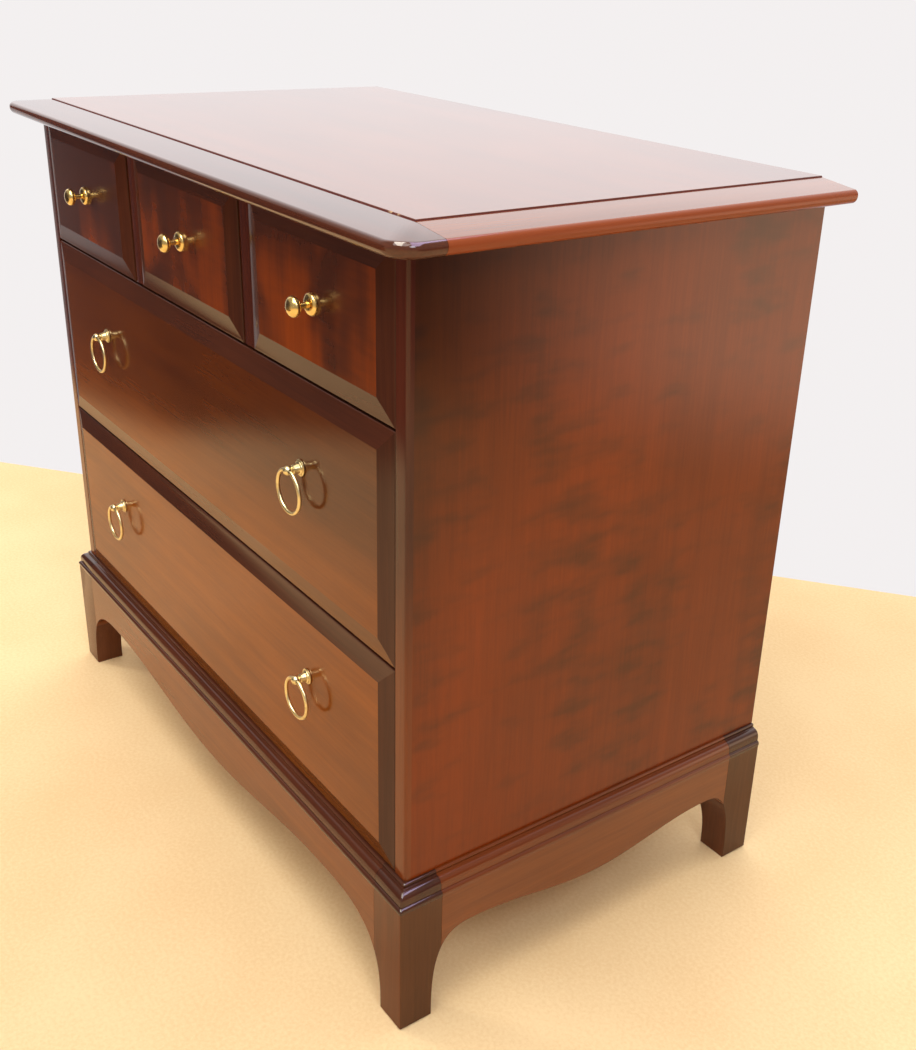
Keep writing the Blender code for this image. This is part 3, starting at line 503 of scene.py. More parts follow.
def box_mesh(low, high):
    """A block between two corners."""
    low, high = Vector(low), Vector(high)
    mesh = bmesh.new()
    bmesh.ops.create_cube(mesh, size=1.0)
    bmesh.ops.scale(mesh, verts=mesh.verts, vec=high - low)
    move(mesh, (low + high) / 2)
    return mesh


def points_in(geometry):
    """The points among what an operator made."""
    return [item for item in geometry if isinstance(item, bmesh.types.BMVert)]


def extrude_outline(corners, way, mesh=None):
    """A flat outline drawn out into a solid, in a new bmesh or beside what one holds."""
    mesh = mesh or bmesh.new()
    face = mesh.faces.new([mesh.verts.new(corner) for corner in corners])
    grown = bmesh.ops.extrude_face_region(mesh, geom=[face])["geom"]
    move(mesh, way, points_in(grown))
    return mesh


def edges_at(mesh, test):
    """The edges whose two ends and middle all pass a test."""
    found = []
    for edge in mesh.edges:
        start, end = (point.co for point in edge.verts)
        if test(start) and test(end) and test((start + end) / 2):
            found.append(edge)
    return found


def upright(edges):
    """Those of some edges that rise."""
    return [edge for edge in edges if abs(edge.verts[0].co.z - edge.verts[1].co.z) > UPRIGHT_RISE]


def round_over(mesh, edges, radius, segments):
    """Round some edges with a small arc."""
    bmesh.ops.bevel(mesh, geom=edges, offset=radius, segments=segments, profile=0.5,
                    affect="EDGES", material=-1, clamp_overlap=True)


def spin_round(mesh, steps):
    """Spin all of an outline once round the Y axis."""
    bmesh.ops.spin(mesh, geom=[*mesh.verts, *mesh.edges], cent=(0, 0, 0), axis=(0, 1, 0),
                   angle=2 * math.pi, steps=steps, use_merge=True)


def clean(mesh):
    """Weld the doubles and turn the faces outwards."""
    bmesh.ops.remove_doubles(mesh, verts=mesh.verts, dist=WELD)
    bmesh.ops.recalc_face_normals(mesh, faces=mesh.faces)


def written(mesh, name, *finishes):
    """A shaped bmesh as mesh data with its finishes."""
    data = bpy.data.meshes.new(name)
    mesh.to_mesh(data)
    mesh.free()
    for finish in finishes:
        data.materials.append(finish)
    return data


def finish_piece(mesh, node, how, *finishes, sharp=SHARP_DEGREES):
    """Write a bmesh out as a piece, named after its CAD node and how it was made."""
    name = f"{node}_{how}"
    clean(mesh)
    for face in mesh.faces:
        face.smooth = face.calc_area() < LARGE_FACE
    if not all(edge.is_manifold for edge in mesh.edges):
        print("open edges in", name)
    data = written(mesh, name, *finishes)
    data.set_sharp_from_angle(angle=math.radians(sharp))
    piece = add_object(name, data)
    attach(piece, BODY_OF[node])
    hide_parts(node)


print("helpers ready")

# %% [markdown]
# ## The top's frame
# Solid borders run round three sides of the top, a step below its veneered panel. They fall a
# little towards the room and end in a rounded nose, tighter above than below, so the points of a
# block's upper face are lowered and its outer edges are rounded with Bevel. The front border has
# rounded corners, and its ends slope both ways: cuts beside the two diagonals give it points
# there, and the two slopes are blended at them.

# %% Shape the borders
BORDER_SLOPE = 0.0050 / 0.0405
TOP_CORNER_RADIUS = 0.022
NOSE_OVER = 0.0043
NOSE_UNDER = 0.0072
NOSE_OVER_STEPS = 7
NOSE_UNDER_STEPS = 8
CORNER_STEPS = 14
NOSE_PARTING = 0.004
UPPER_FACE = 0.010
HIP_BLEND = 0.015
HIP_STEPS = 3


def upper_points(mesh, low):
    """The points of a border's upper face."""
    return [point for point in mesh.verts if point.co.z > low[2] + UPPER_FACE]


def slope_top(points, top, inner):
    """Lower each point by the slope times its distance out from the panel."""
    for point in points:
        beside = max(0.0, abs(point.co.x) - inner[0])
        ahead = max(0.0, inner[1] - point.co.y)
        out = max(beside, ahead)
        soft = min(HIP_BLEND, out)
        shared = max(0.0, soft - abs(beside - ahead))
        if shared:
            out += shared**2 / (4 * soft)
        point.co.z = top - BORDER_SLOPE * out


def nose(mesh, on_edge, low):
    """Round the outer edge, tighter above than below."""
    upper = edges_at(mesh, lambda spot: on_edge(spot) and spot.z > low[2] + NOSE_PARTING)
    round_over(mesh, upper, NOSE_OVER, NOSE_OVER_STEPS)
    lower = edges_at(mesh, lambda spot: on_edge(spot) and spot.z < low[2] + TOUCH)
    round_over(mesh, lower, NOSE_UNDER, NOSE_UNDER_STEPS)


def side_border(name):
    """A straight border with a nose along its outer edge."""
    low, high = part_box(name)
    outer = max(abs(low[0]), abs(high[0]))
    border = box_mesh(low, high)
    slope_top(upper_points(border, low), high[2], (PANEL_HIGH[0], low[1]))
    nose(border, lambda spot: abs(spot.x) > outer - TOUCH, low)
    finish_piece(border, name, "nosed", SIDE_BORDER)


def front_border(name):
    """The border across the front, with rounded corners, a nose and blended slopes."""
    low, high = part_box(name)
    inner = PANEL_HIGH[0], PANEL_LOW[1]

    def rim_inset(spot):
        """How far a point stands in from the outer edge."""
        out_x = max(0.0, abs(spot.x) - high[0] + TOP_CORNER_RADIUS)
        out_y = max(0.0, low[1] + TOP_CORNER_RADIUS - spot.y)
        return TOP_CORNER_RADIUS - math.hypot(out_x, out_y)

    border = box_mesh(low, high)
    corners = upright(edges_at(border, lambda spot: spot.y < low[1] + TOUCH))
    round_over(border, corners, TOP_CORNER_RADIUS, CORNER_STEPS)
    slope_top(upper_points(border, low), high[2], inner)
    nose(border, lambda spot: rim_inset(spot) < 3 * TOUCH, low)
    for side in (-1, 1):
        for step in range(-HIP_STEPS, HIP_STEPS + 1):
            shift = HIP_BLEND * step / HIP_STEPS
            start = (side * (inner[0] + shift), inner[1], 0.0)
            everything = [*border.verts, *border.edges, *border.faces]
            bmesh.ops.bisect_plane(border, geom=everything, plane_co=start,
                                   plane_no=(1.0, side, 0.0), dist=WELD / 2)
    upper = upper_points(border, low)
    within = [point for point in upper if rim_inset(point.co) > NOSE_OVER + 2 * TOUCH]
    slope_top(within, high[2], inner)
    for point in set(upper) - set(within):
        point.co.z += BORDER_SLOPE * rim_inset(point.co)
    finish_piece(border, name, "nosed", FRONT_BORDER)


for hand in SIDES:
    side_border(f"top_border_{hand}")
front_border("top_border_front")
print("the borders are nosed")

# %% [markdown]
# ## The sides
# A side is a veneered board with a strip of solid wood on its front edge, rounded on its outer
# arris, and a rebate behind for the back. Its plan is the same at every height, so it is drawn as
# a flat outline and extruded up.

# %% Shape the sides
SIDE_THICKNESS = 0.0155
SIDE_EDGE_RADIUS = 0.003
SIDE_EDGE_STEPS = 8
LIPPING_DEPTH = 0.006
REBATE_WIDTH = 0.007
SEAT = 0.0003

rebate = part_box("back_panel")[0][1] - SEAT
for hand, side in SIDES.items():
    name = f"side_panel_{hand}"
    low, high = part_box(name)
    outer = max(abs(low[0]), abs(high[0]))
    inner = outer - SIDE_THICKNESS
    plan = [
        (inner, low[1]), (outer, low[1]),
        (outer, low[1] + LIPPING_DEPTH), (outer, high[1]),
        (inner + REBATE_WIDTH, high[1]), (inner + REBATE_WIDTH, rebate),
        (inner, rebate), (inner, low[1] + LIPPING_DEPTH),
    ]
    panel = extrude_outline([(side * x, y, low[2]) for x, y in plan], (0, 0, high[2] - low[2]))
    arris = edges_at(panel, lambda spot: spot.y < low[1] + TOUCH and abs(spot.x) > outer - TOUCH)
    round_over(panel, arris, SIDE_EDGE_RADIUS, SIDE_EDGE_STEPS)
    for face in panel.faces:
        face.material_index = int(face.calc_center_median().y < low[1] + LIPPING_DEPTH)
    finish_piece(panel, name, "veneered", SIDE_VENEER, LIPPING)
print("the sides are", SIDE_THICKNESS * 1000, "mm thick")

# %% [markdown]
# ## The partitions
# Two upright boards part the short drawers. Only their front edges show, with their arrises
# eased. Each is notched round the rail under the top, so its profile is extruded sideways.

# %% Shape the partitions
PARTITION_ARRIS = 0.0010
ARRIS_STEPS = 4

rail_low, rail_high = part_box("top_front_rail")
notch_front, notch_back = rail_low[1] - SEAT, rail_high[1] + SEAT
notch_bottom = rail_low[2] - SEAT
for hand in SIDES:
    name = f"partition_{hand}"
    low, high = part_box(name)
    profile = [
        (low[1], low[2]), (high[1], low[2]),
        (high[1], high[2]), (notch_back, high[2]),
        (notch_back, notch_bottom), (notch_front, notch_bottom),
        (notch_front, high[2]), (low[1], high[2]),
    ]
    board = extrude_outline([(low[0], y, z) for y, z in profile], (high[0] - low[0], 0, 0))
    arrises = upright(edges_at(board, lambda spot: spot.y < low[1] + TOUCH))
    round_over(board, arrises, PARTITION_ARRIS, ARRIS_STEPS)
    finish_piece(board, name, "eased", LIPPING)
print("two partitions eased")

# %% [markdown]
# ## The drawer fronts
# Each front is raised and fielded: a slightly hollow bevel runs round a flat field that stands
# 4 mm proud, mitred at the corners and with its grain along each edge. Inset keeps such corners
# mitred, so a block has its face inset again and again, first round the arris and then up the
# hollow. The bevels above and beside the field are painted a darker shade than the one below it.

# %% Shape the drawer fronts
BEVEL_WIDTH = 0.0195
FIELD_RISE = 0.0040
FRONT_ARRIS = 0.0008
HOLLOW_STEPS = 10
HOLLOW_POWER = 1.2
FRONT_SHARP_DEGREES = 9.0


def arc(steps, start=0.0, end=90.0):
    """Cosine and sine of evenly spaced angles, in degrees."""
    turns = [math.radians(start + (end - start) * step / steps) for step in range(steps + 1)]
    return [(math.cos(turn), math.sin(turn)) for turn in turns]


def front_section():
    """Points (in from the edge, forwards) of an arris and the hollow that rises from it."""
    points = [(FRONT_ARRIS * (1 - out), FRONT_ARRIS * up) for out, up in arc(ARRIS_STEPS)]
    width = BEVEL_WIDTH - FRONT_ARRIS
    for step in range(1, HOLLOW_STEPS + 1):
        share = step / HOLLOW_STEPS
        rise = FIELD_RISE * share**HOLLOW_POWER
        points.append((FRONT_ARRIS + width * share, FRONT_ARRIS + rise))
    return points


def fielded_front(node, field):
    """A drawer front with a hollow bevel round its field."""
    low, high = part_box(node)
    front = box_mesh((low[0], low[1] + FIELD_RISE + FRONT_ARRIS, low[2]), high)
    face = min(front.faces, key=lambda side: side.calc_center_median().y)
    for item in front.faces:
        item.material_index = 1
    for start, end in zip(SECTION, SECTION[1:]):
        inset = bmesh.ops.inset_individual(front, faces=[face], thickness=end[0] - start[0],
                                           depth=end[1] - start[1], use_even_offset=True)
        for item in inset["faces"]:
            middle = item.calc_center_median()
            beside = min(middle.x - low[0], high[0] - middle.x)
            ways = (high[2] - middle.z, middle.z - low[2], beside)
            item.material_index = 1 + ways.index(min(ways))
    face.material_index = 0
    bevels = BEVEL_ABOVE, BEVEL_BELOW, BEVEL_BESIDE
    finish_piece(front, node, "fielded", field, *bevels, sharp=FRONT_SHARP_DEGREES)


SECTION = front_section()
for place in ("left", "middle", "right"):
    fielded_front(f"short_{place}_front", FIELD_SHORT)
for place in ("upper", "lower"):
    fielded_front(f"long_{place}_front", FIELD_LONG)
print("five fronts, each with", len(SECTION), "steps from arris to field")

# %% [markdown]
# ## The plinth's moulding
# From the top down: a small bead, a quirk, a quarter round, a flat face and a lower bead that
# stands proudest. It is one line of points, used along the rails and round the feet.

# %% Draw the moulding
LEG_PROJECTION = 0.0125
BEAD_OUT = 0.0028
BEAD_HEIGHT = 0.0034
FILLET_OUT = 0.0040
OVOLO_OUT = 0.0108
OVOLO_TOP = 0.0040
OVOLO_HEIGHT = 0.0075
FACE_HEIGHT = 0.0045
LOWER_BEAD_OUT = 0.0133
LOWER_BEAD_HEIGHT = 0.0060
QUIRK_DEPTH = 0.0006
BEAD_START_DEGREES = -60.0
ROUND_STEPS = 9

PLINTH_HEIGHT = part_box("plinth_rail_front")[1][2]
CARCASS_FRONT, CARCASS_REAR = (corner[1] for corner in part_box("side_panel_left"))
HALF_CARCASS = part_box("side_panel_right")[1][0]


def rounding(steps, middle, reach, *angles):
    """Points on a round or oval stretch about a middle, at reach out and up from it."""
    return [
        (middle[0] + reach[0] * out, middle[1] + reach[1] * up) for out, up in arc(steps, *angles)
    ]


def moulding():
    """Points (out from the carcass, height) from the lower bead up to the top bead."""
    ovolo_bottom = PLINTH_HEIGHT - OVOLO_TOP - OVOLO_HEIGHT
    face_bottom = ovolo_bottom - FACE_HEIGHT
    lower, upper = LOWER_BEAD_HEIGHT / 2, BEAD_HEIGHT / 2
    quirk = OVOLO_OUT - QUIRK_DEPTH
    points = [(LEG_PROJECTION, face_bottom - LOWER_BEAD_HEIGHT)]
    points += rounding(ROUND_STEPS, (quirk, face_bottom - lower), (LOWER_BEAD_OUT - quirk, lower))
    points.append((OVOLO_OUT, face_bottom))
    ovolo = (OVOLO_OUT - FILLET_OUT, OVOLO_HEIGHT)
    points += rounding(ROUND_STEPS, (FILLET_OUT, ovolo_bottom), ovolo)
    points.append((FILLET_OUT, ovolo_bottom + OVOLO_HEIGHT + QUIRK_DEPTH / 2))
    bead = (BEAD_OUT - upper, PLINTH_HEIGHT - upper)
    return points + rounding(ROUND_STEPS, bead, (upper, upper), BEAD_START_DEGREES, 90.0)


MOULDING = moulding()
print("the moulding is", round((PLINTH_HEIGHT - MOULDING[0][1]) * 1000, 1), "mm tall")

# %% [markdown]
# ## The plinth's rails
# The front and side rails rise in an arch beside each foot and fall to a soft drop in the
# middle. The board's outline is seen from the front and the moulding's from the end, so each is
# extruded its own way, in one piece.

# %% Shape the rails
CREST_HEIGHT = 0.092
ARCH_POWER = 3.0
FOOT_TAPER = 0.010
FRONT_ARCH = (0.097, 0.069)
SIDE_ARCH = (0.0435, 0.075)
RAIL_THICKNESS = 0.022
RAIL_ARRIS = 0.0012
RAIL_ARRIS_STEPS = 3
ARCH_STEPS = 22
DROP_STEPS = 40


def arch_height(inset, width):
    """The height of an arch's edge at some distance in from the foot at the floor."""
    share = max(0.0, 1 - inset / width)
    return CREST_HEIGHT * (1 - share**ARCH_POWER) ** (1 / ARCH_POWER)


def arch_inset(height, width):
    """How far an arch's edge stands in from the foot at the floor, at some height."""
    share = min(height / CREST_HEIGHT, 1.0)
    return width * (1 - (1 - share**ARCH_POWER) ** (1 / ARCH_POWER))


def rail_edge(start, end, width, drop):
    """Points (along, height) of a rail's shaped lower edge between two feet."""
    middle, half = (start + end) / 2, (end - start) / 2
    reach = width - FOOT_TAPER
    crest = half - reach
    points = []
    for step in range(ARCH_STEPS + 1):
        along = reach * (step / ARCH_STEPS) ** 2
        points.append((half - along, arch_height(FOOT_TAPER + along, width)))
    for step in range(1, DROP_STEPS // 2 + 1):
        along = crest * (1 - 2 * step / DROP_STEPS)
        swing = math.cos(math.pi * along / crest)
        points.append((along, drop + (CREST_HEIGHT - drop) * (1 - swing) / 2))
    mirrored = [(-along, height) for along, height in reversed(points[:-1])]
    return [(middle + along, height) for along, height in reversed(points + mirrored)]


def shaped_rail(node, across_front, side, arch, *finishes):
    """A rail with its shaped board and its moulding."""
    low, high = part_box(node)
    start, end = (low[0], high[0]) if across_front else (low[1], high[1])
    face = CARCASS_FRONT if across_front else side * HALF_CARCASS
    way = -1 if across_front else side

    def spot(along, out, height):
        across = face + way * out
        return (along, across, height) if across_front else (across, along, height)

    edge = rail_edge(start - SEAT, end + SEAT, *arch)
    edge = [(min(max(along, start), end), height) for along, height in edge]
    top = MOULDING[0][1] + LOWER_BEAD_HEIGHT / 2
    outline = [(start, top), *edge, (end, top)]
    back = LEG_PROJECTION - RAIL_THICKNESS
    front, behind = (Vector(spot(0, out, 0)) for out in (LEG_PROJECTION, back))
    rail = extrude_outline([spot(along, back, height) for along, height in outline], front - behind)
    axis = int(across_front)
    lower = edges_at(rail, lambda at: abs(at[axis] - front[axis]) < TOUCH and at.z < top - TOUCH)
    round_over(rail, lower, RAIL_ARRIS, RAIL_ARRIS_STEPS)
    board = set(rail.faces)
    band = [(back, MOULDING[0][1]), *MOULDING, (back, PLINTH_HEIGHT)]
    length = Vector(spot(end, 0, 0)) - Vector(spot(start, 0, 0))
    extrude_outline([spot(start, out, height) for out, height in band], length, rail)
    for face in set(rail.faces) - board:
        face.material_index = 1
    finish_piece(rail, node, "moulded", *finishes)


shaped_rail("plinth_rail_front", True, 0, FRONT_ARCH, RAIL_FRONT, MOULDING_FRONT)
for hand, side in SIDES.items():
    shaped_rail(f"plinth_rail_{hand}", False, side, SIDE_ARCH, RAIL_SIDE, MOULDING_SIDE)
print("three rails shaped")

# %% [markdown]
# ## The feet
# A foot is a square post, stained darker than the rails, that widens up into both arches and
# carries the moulding round its top. It grows level by level: a ring of four edges is extruded,
# and the new points are moved out or in to where that level needs them. Both ends are filled.

# %% Grow the feet
FOOT_WIDTH = 0.043
FOOT_SOLE = 0.0015
FOOT_CORNER_RADIUS = 0.0016
REAR_CORNER_RADIUS = 0.0006
FOOT_CORNER_STEPS = 3
TAPER_STEPS = 14


def foot_levels():
    """Each level's height and how far out from the carcass it stands, sole to top bead."""
    joint = max(arch_height(FOOT_TAPER, FRONT_ARCH[0]), arch_height(FOOT_TAPER, SIDE_ARCH[0]))
    levels = [(LEG_PROJECTION - FOOT_SOLE, 0.0), (LEG_PROJECTION, FOOT_SOLE)]
    levels += [(LEG_PROJECTION, joint * step / TAPER_STEPS) for step in range(1, TAPER_STEPS + 1)]
    return levels + MOULDING


def foot(node, side, at_front):
    """A foot with its tapers and its moulding."""

    def corners(out, height):
        insets = [arch_inset(height, arch[0]) for arch in (FRONT_ARCH, SIDE_ARCH)]
        wide, deep = (min(FOOT_WIDTH, FOOT_WIDTH - FOOT_TAPER + inset) for inset in insets)
        x, inner_x = HALF_CARCASS + out, HALF_CARCASS + LEG_PROJECTION - wide
        y, inner_y = CARCASS_REAR, CARCASS_REAR - deep
        if at_front:
            y, inner_y = CARCASS_FRONT - out, CARCASS_FRONT - LEG_PROJECTION + deep
        plan = [(x, y), (inner_x, y), (inner_x, inner_y), (x, inner_y)]
        return [Vector((side * across, along, height)) for across, along in plan]

    post = bmesh.new()
    levels = foot_levels()
    points = [post.verts.new(spot) for spot in corners(*levels[0])]
    ring = [post.edges.new(pair) for pair in zip(points, points[1:] + points[:1])]
    for below, level in zip(levels, levels[1:]):
        grown = bmesh.ops.extrude_edge_only(post, edges=ring)["geom"]
        points = set(points_in(grown))
        edges = [item for item in grown if isinstance(item, bmesh.types.BMEdge)]
        ring = [edge for edge in edges if points.issuperset(edge.verts)]
        old = corners(*below)
        for point in points:
            nearest = min(range(4), key=lambda number: (point.co - old[number]).length)
            point.co = corners(*level)[nearest]
    bmesh.ops.holes_fill(post, edges=[edge for edge in post.edges if edge.is_boundary])
    outer = [corners(out, height)[0] for out, height in levels]
    for face in post.faces:
        face.material_index = int(face.calc_center_median().z > MOULDING[0][1])
    columns = [
        edge
        for edge in post.edges
        if all(min((point.co - spot).length for spot in outer) < TOUCH / 10 for point in edge.verts)
    ]
    radius = FOOT_CORNER_RADIUS if at_front else REAR_CORNER_RADIUS
    round_over(post, columns, radius, FOOT_CORNER_STEPS)
    finish_piece(post, node, "grown", FOOT, MOULDING_ON_FEET)


for hand, side in SIDES.items():
    for end in ("front", "back"):
        foot(f"plinth_foot_{end}_{hand}", side, end == "front")
print("four feet grown")

# %% [markdown]
# ## The knobs
# A knob is turned brass: a domed base, a thin neck and a broad, flattish head. What comes off a
# lathe is the same all round, so half of its outline is spun round its axis.

# %% Turn the knobs
KNOB_LENGTH = 0.0216
KNOB_BASE_RADIUS = 0.0093
KNOB_BASE_EDGE = 0.0010
KNOB_BASE_HEIGHT = 0.0046
KNOB_NECK_RADIUS = 0.0026
KNOB_RADIUS = 0.0087
KNOB_UNDERCUT = 0.0040
KNOB_DOME = 0.0058
KNOB_STEPS = {"base": 10, "under": 8, "dome": 14, "round": 64}


def turned(profile, seat, steps):
    """A turned solid from (radius, height) points, standing forwards from its seat."""
    mesh = bmesh.new()
    points = [mesh.verts.new((radius, -height, 0.0)) for radius, height in profile]
    for pair in zip(points, points[1:]):
        mesh.edges.new(pair)
    spin_round(mesh, steps)
    move(mesh, seat)
    return mesh


def knob_profile():
    """Points (radius, height) from the middle of the base round to the top of the dome."""
    rim = KNOB_LENGTH - KNOB_DOME
    neck = (KNOB_NECK_RADIUS, KNOB_BASE_EDGE)
    flare = (KNOB_BASE_RADIUS - KNOB_NECK_RADIUS, KNOB_BASE_HEIGHT - KNOB_BASE_EDGE)
    base = [(0.0, 0.0), (KNOB_BASE_RADIUS, 0.0), (KNOB_BASE_RADIUS, KNOB_BASE_EDGE)]
    base += rounding(KNOB_STEPS["base"], neck, flare)[1:]
    under = (KNOB_RADIUS - KNOB_NECK_RADIUS, -KNOB_UNDERCUT)
    head = rounding(KNOB_STEPS["under"], (KNOB_NECK_RADIUS, rim), under)[::-1]
    dome = rounding(KNOB_STEPS["dome"], (0.0, rim), (KNOB_RADIUS, KNOB_DOME))[1:]
    return base + head + dome


for place in ("left", "middle", "right"):
    low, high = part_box(f"knob_{place}")
    seat = ((low[0] + high[0]) / 2, high[1], (low[2] + high[2]) / 2)
    knob = turned(knob_profile(), seat, KNOB_STEPS["round"])
    finish_piece(knob, f"knob_{place}", "turned", KNOB_BRASS)
print("three knobs turned")

# %% [markdown]
# ## The ring pulls
# Each ring hangs through a bored ball at the end of a turned post with a stepped flange. The
# bore is cut with a Boolean, so that the ring swings freely in it.

# %% Turn the posts and bend the rings
POST_LENGTH = 0.0120
FLANGE_RADIUS = 0.0074
POST_FOOT_RADIUS = 0.0046
POST_NECK_RADIUS = 0.0030
POST_NECK_HEIGHT = 0.0081
BALL_RADIUS = 0.0042
RING_RADIUS = 0.0192
WIRE_RADIUS = 0.0017
RING_PLAY = 0.0004
FLANGE_EDGE = ((0.97, 0.0), (1.0, 0.0003), (1.0, 0.0010), (0.96, 0.0013))
FLANGE_EDGE += ((0.82, 0.0015), (0.80, 0.0022), (0.74, 0.0026))
POST_TAPER = ((1.0, 0.0030), (0.87, 0.0058), (0.83, 0.0074))
RING_STEPS = {"ball": 16, "post": 48, "bore": 32, "wire": 20, "ring": 96}


def post_profile():
    """Points (radius, height) from the middle of the flange to the tip of the ball."""
    flange = [(FLANGE_RADIUS * share, height) for share, height in FLANGE_EDGE]
    taper = [(POST_FOOT_RADIUS * share, height) for share, height in POST_TAPER]
    neck = math.degrees(math.asin(POST_NECK_RADIUS / BALL_RADIUS)) - 90.0
    reach = (BALL_RADIUS, BALL_RADIUS)
    ball = rounding(RING_STEPS["ball"], (0.0, POST_LENGTH), reach, neck, 90.0)
    return [(0.0, 0.0), *flange, *taper, (POST_NECK_RADIUS, POST_NECK_HEIGHT), *ball]


def bored(mesh, middle, radius, length):
    """The same mesh with a round bore along X."""
    drill = bmesh.new()
    bmesh.ops.create_cone(drill, cap_ends=True, segments=RING_STEPS["bore"], radius1=radius,
                          radius2=radius, depth=length)
    bmesh.ops.rotate(drill, verts=drill.verts, matrix=Matrix.Rotation(math.pi / 2, 3, "Y"))
    move(drill, middle)
    clean(mesh)
    blank = add_object("post_blank", written(mesh, "post"))
    tool = add_object("drill", written(drill, "drill"))
    hole = blank.modifiers.new("bore", "BOOLEAN")
    hole.object = tool
    hole.operation = "DIFFERENCE"
    hole.solver = "EXACT"
    cut = blank.evaluated_get(bpy.context.evaluated_depsgraph_get()).to_mesh()
    result = bmesh.new()
    result.from_mesh(cut)
    for item in (blank, tool):
        bpy.data.objects.remove(item, do_unlink=True)
    return result


def bent_ring(axis_point):
    """A wire ring that hangs from a point, bent by spinning the wire's round section."""
    sag = BALL_RADIUS**2 / (2 * RING_RADIUS)
    middle = Vector(axis_point) - Vector((0.0, 0.0, RING_RADIUS - sag / 2))
    mesh = bmesh.new()
    bmesh.ops.create_circle(mesh, radius=WIRE_RADIUS, segments=RING_STEPS["wire"])
    move(mesh, (RING_RADIUS, 0.0, 0.0))
    spin_round(mesh, RING_STEPS["ring"])
    move(mesh, middle)
    return mesh


HINGES = {joint["name"]: joint for joint in RECORD["behaviour"]["joints"]}
for level in ("upper", "lower"):
    for hand in SIDES:
        axis_point = Vector(HINGES[f"ring_{level}_{hand}_hinge"]["pos_m"])
        post_node = f"pull_post_{level}_{hand}"
        seat = (axis_point.x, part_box(post_node)[1][1], axis_point.z)
        blank = turned(post_profile(), seat, RING_STEPS["post"])
        post = bored(blank, axis_point, WIRE_RADIUS + RING_PLAY, 4 * BALL_RADIUS)
        finish_piece(post, post_node, "turned", RING_BRASS)
        finish_piece(bent_ring(axis_point), f"pull_ring_{level}_{hand}", "bent", RING_BRASS)
print("four ring pulls made")

# %% [markdown]
# ## The boards that stay
# The top's panel, the drawer boxes, the boards inside and the back keep their own shapes. Each
# gets its wood, with the grain along its length.

# %% Give the remaining boards their wood
def dress(node, material):
    """Give a board that keeps its shape its wood."""
    materials = frame["nodes"][node].data.materials
    materials.clear()
    materials.append(material)


dress("top_panel", TOP_VENEER)
dress("back_panel", PRESSED_BOARD)
dress("plinth_rail_back", RAIL_FRONT)
for node in ("bottom_board", "dust_board", "top_front_rail"):
    dress(node, PALE_WOOD["X"])
for node in frame["nodes"]:
    if node.startswith("runner_") or "_side_" in node:
        dress(node, PALE_WOOD["Y"])
    elif node.endswith(("_bottom", "_back")) and node.startswith(("short_", "long_")):
        dress(node, PALE_WOOD["X"])
print("the remaining boards have their wood")

# %% [markdown]
# ## The floor
# The chest stands on a plain, pale, warm floor. A grid is cut along one line, so the floor stops
# some way behind the chest, and beyond it only the pale surround is seen.

# %% Lay the floor
FLOOR_EDGE = ((-1.119, -0.115), (0.136, 0.884))
FLOOR_REACH = 7.0
FLOOR_DARK, FLOOR_LIGHT = shade(0.86, 0.60, 0.31), shade(0.94, 0.70, 0.39)


def lay_floor():
    """A large plain floor with one long edge behind the chest."""
    first, second = (Vector((*spot, 0.0)) for spot in FLOOR_EDGE)
    along = (second - first).normalized()
    mesh = bmesh.new()
    bmesh.ops.create_grid(mesh, x_segments=1, y_segments=1, size=FLOOR_REACH)
    everything = [*mesh.verts, *mesh.edges, *mesh.faces]
    bmesh.ops.bisect_plane(mesh, geom=everything, plane_co=first,
                           plane_no=(-along.y, along.x, 0.0), clear_outer=True)
    finish = Finish("floor", Roughness=0.95, Specular_IOR_Level=0.1)
    x, y, height = finish.axes()
    tuft = finish.noise((x, y, 0.0), (260.0,) * 3, detail=3.0, rough=0.6)
    tread = finish.noise((x, y, 0.0), (6.0,) * 3)
    tone = (tuft * 0.6 + tread * 0.4).between(0.3, 0.7)
    finish.paint(Base_Color=finish.blend(tone, FLOOR_DARK, FLOOR_LIGHT))
    add_object("floor", written(mesh, "floor", finish.material))


lay_floor()
print("the floor is laid")

# %% [markdown]
# ## The surround
# A lacquered chest shows the room it stands in. Here the room is plain: pale behind the chest and
# paler upwards, which lies on its top as a sheen, and dimmer in front. The camera itself sees an
# even pale colour. Four cards are seen only in the lacquer and the brass. One stands for the
# room's dark corner, which keeps the upper fronts deep, and one for its bright end, which lies on
# the side as a haze. Two hang high and put white and violet glints on the rounded edges.

# %% Light the surround and place the cards
BACK_WAY = (-0.62, 0.78, 0.0)
BACK_SPREAD = (0.10, 0.80)
BACK_LIGHT = shade(1.0, 0.985, 1.0)
BACK_STRENGTH = 1.0
BACK_GAIN = 3.4
PALEST_HEIGHT = 0.35
FRONT_LIGHT = shade(1.0, 0.93, 0.86)
FRONT_STRENGTH = 0.40
SEEN_LIGHT = shade(0.90, 0.87, 0.87)
CARD_RISE = (0.0, 0.0, 1.0)
DARK_CARD = ((-0.15, -1.28, 0.0), (-0.78, -0.84, 0.0), (-0.93, -0.69, 0.0))
DARK_CARD += ((-1.00, -0.55, 0.0), (-1.42, -0.47, 0.0))
DARK_FOOT_FADE = (0.0, 0.08)
BRIGHT_CARD = ((2.10, -0.10, 0.0), (0.75, 1.30, 0.0))
DARK = shade(0.022, 0.014, 0.030)
HAZE = shade(1.0, 0.74, 0.50)
HAZE_STRENGTH = 2.8
HAZE_START = (0.50, 0.95)
HAZE_FOOT_FADE = (0.0, 0.28)
HAZE_HEAD_FADE = (0.90, 0.50)
WHITE_STRIP = ((-0.60, -0.16, 2.20), (0.85, -1.68, 2.20)), (0.36, 0.36, 0.0)
WHITE_GLINT = shade(1.0, 0.95, 0.84), 16.0
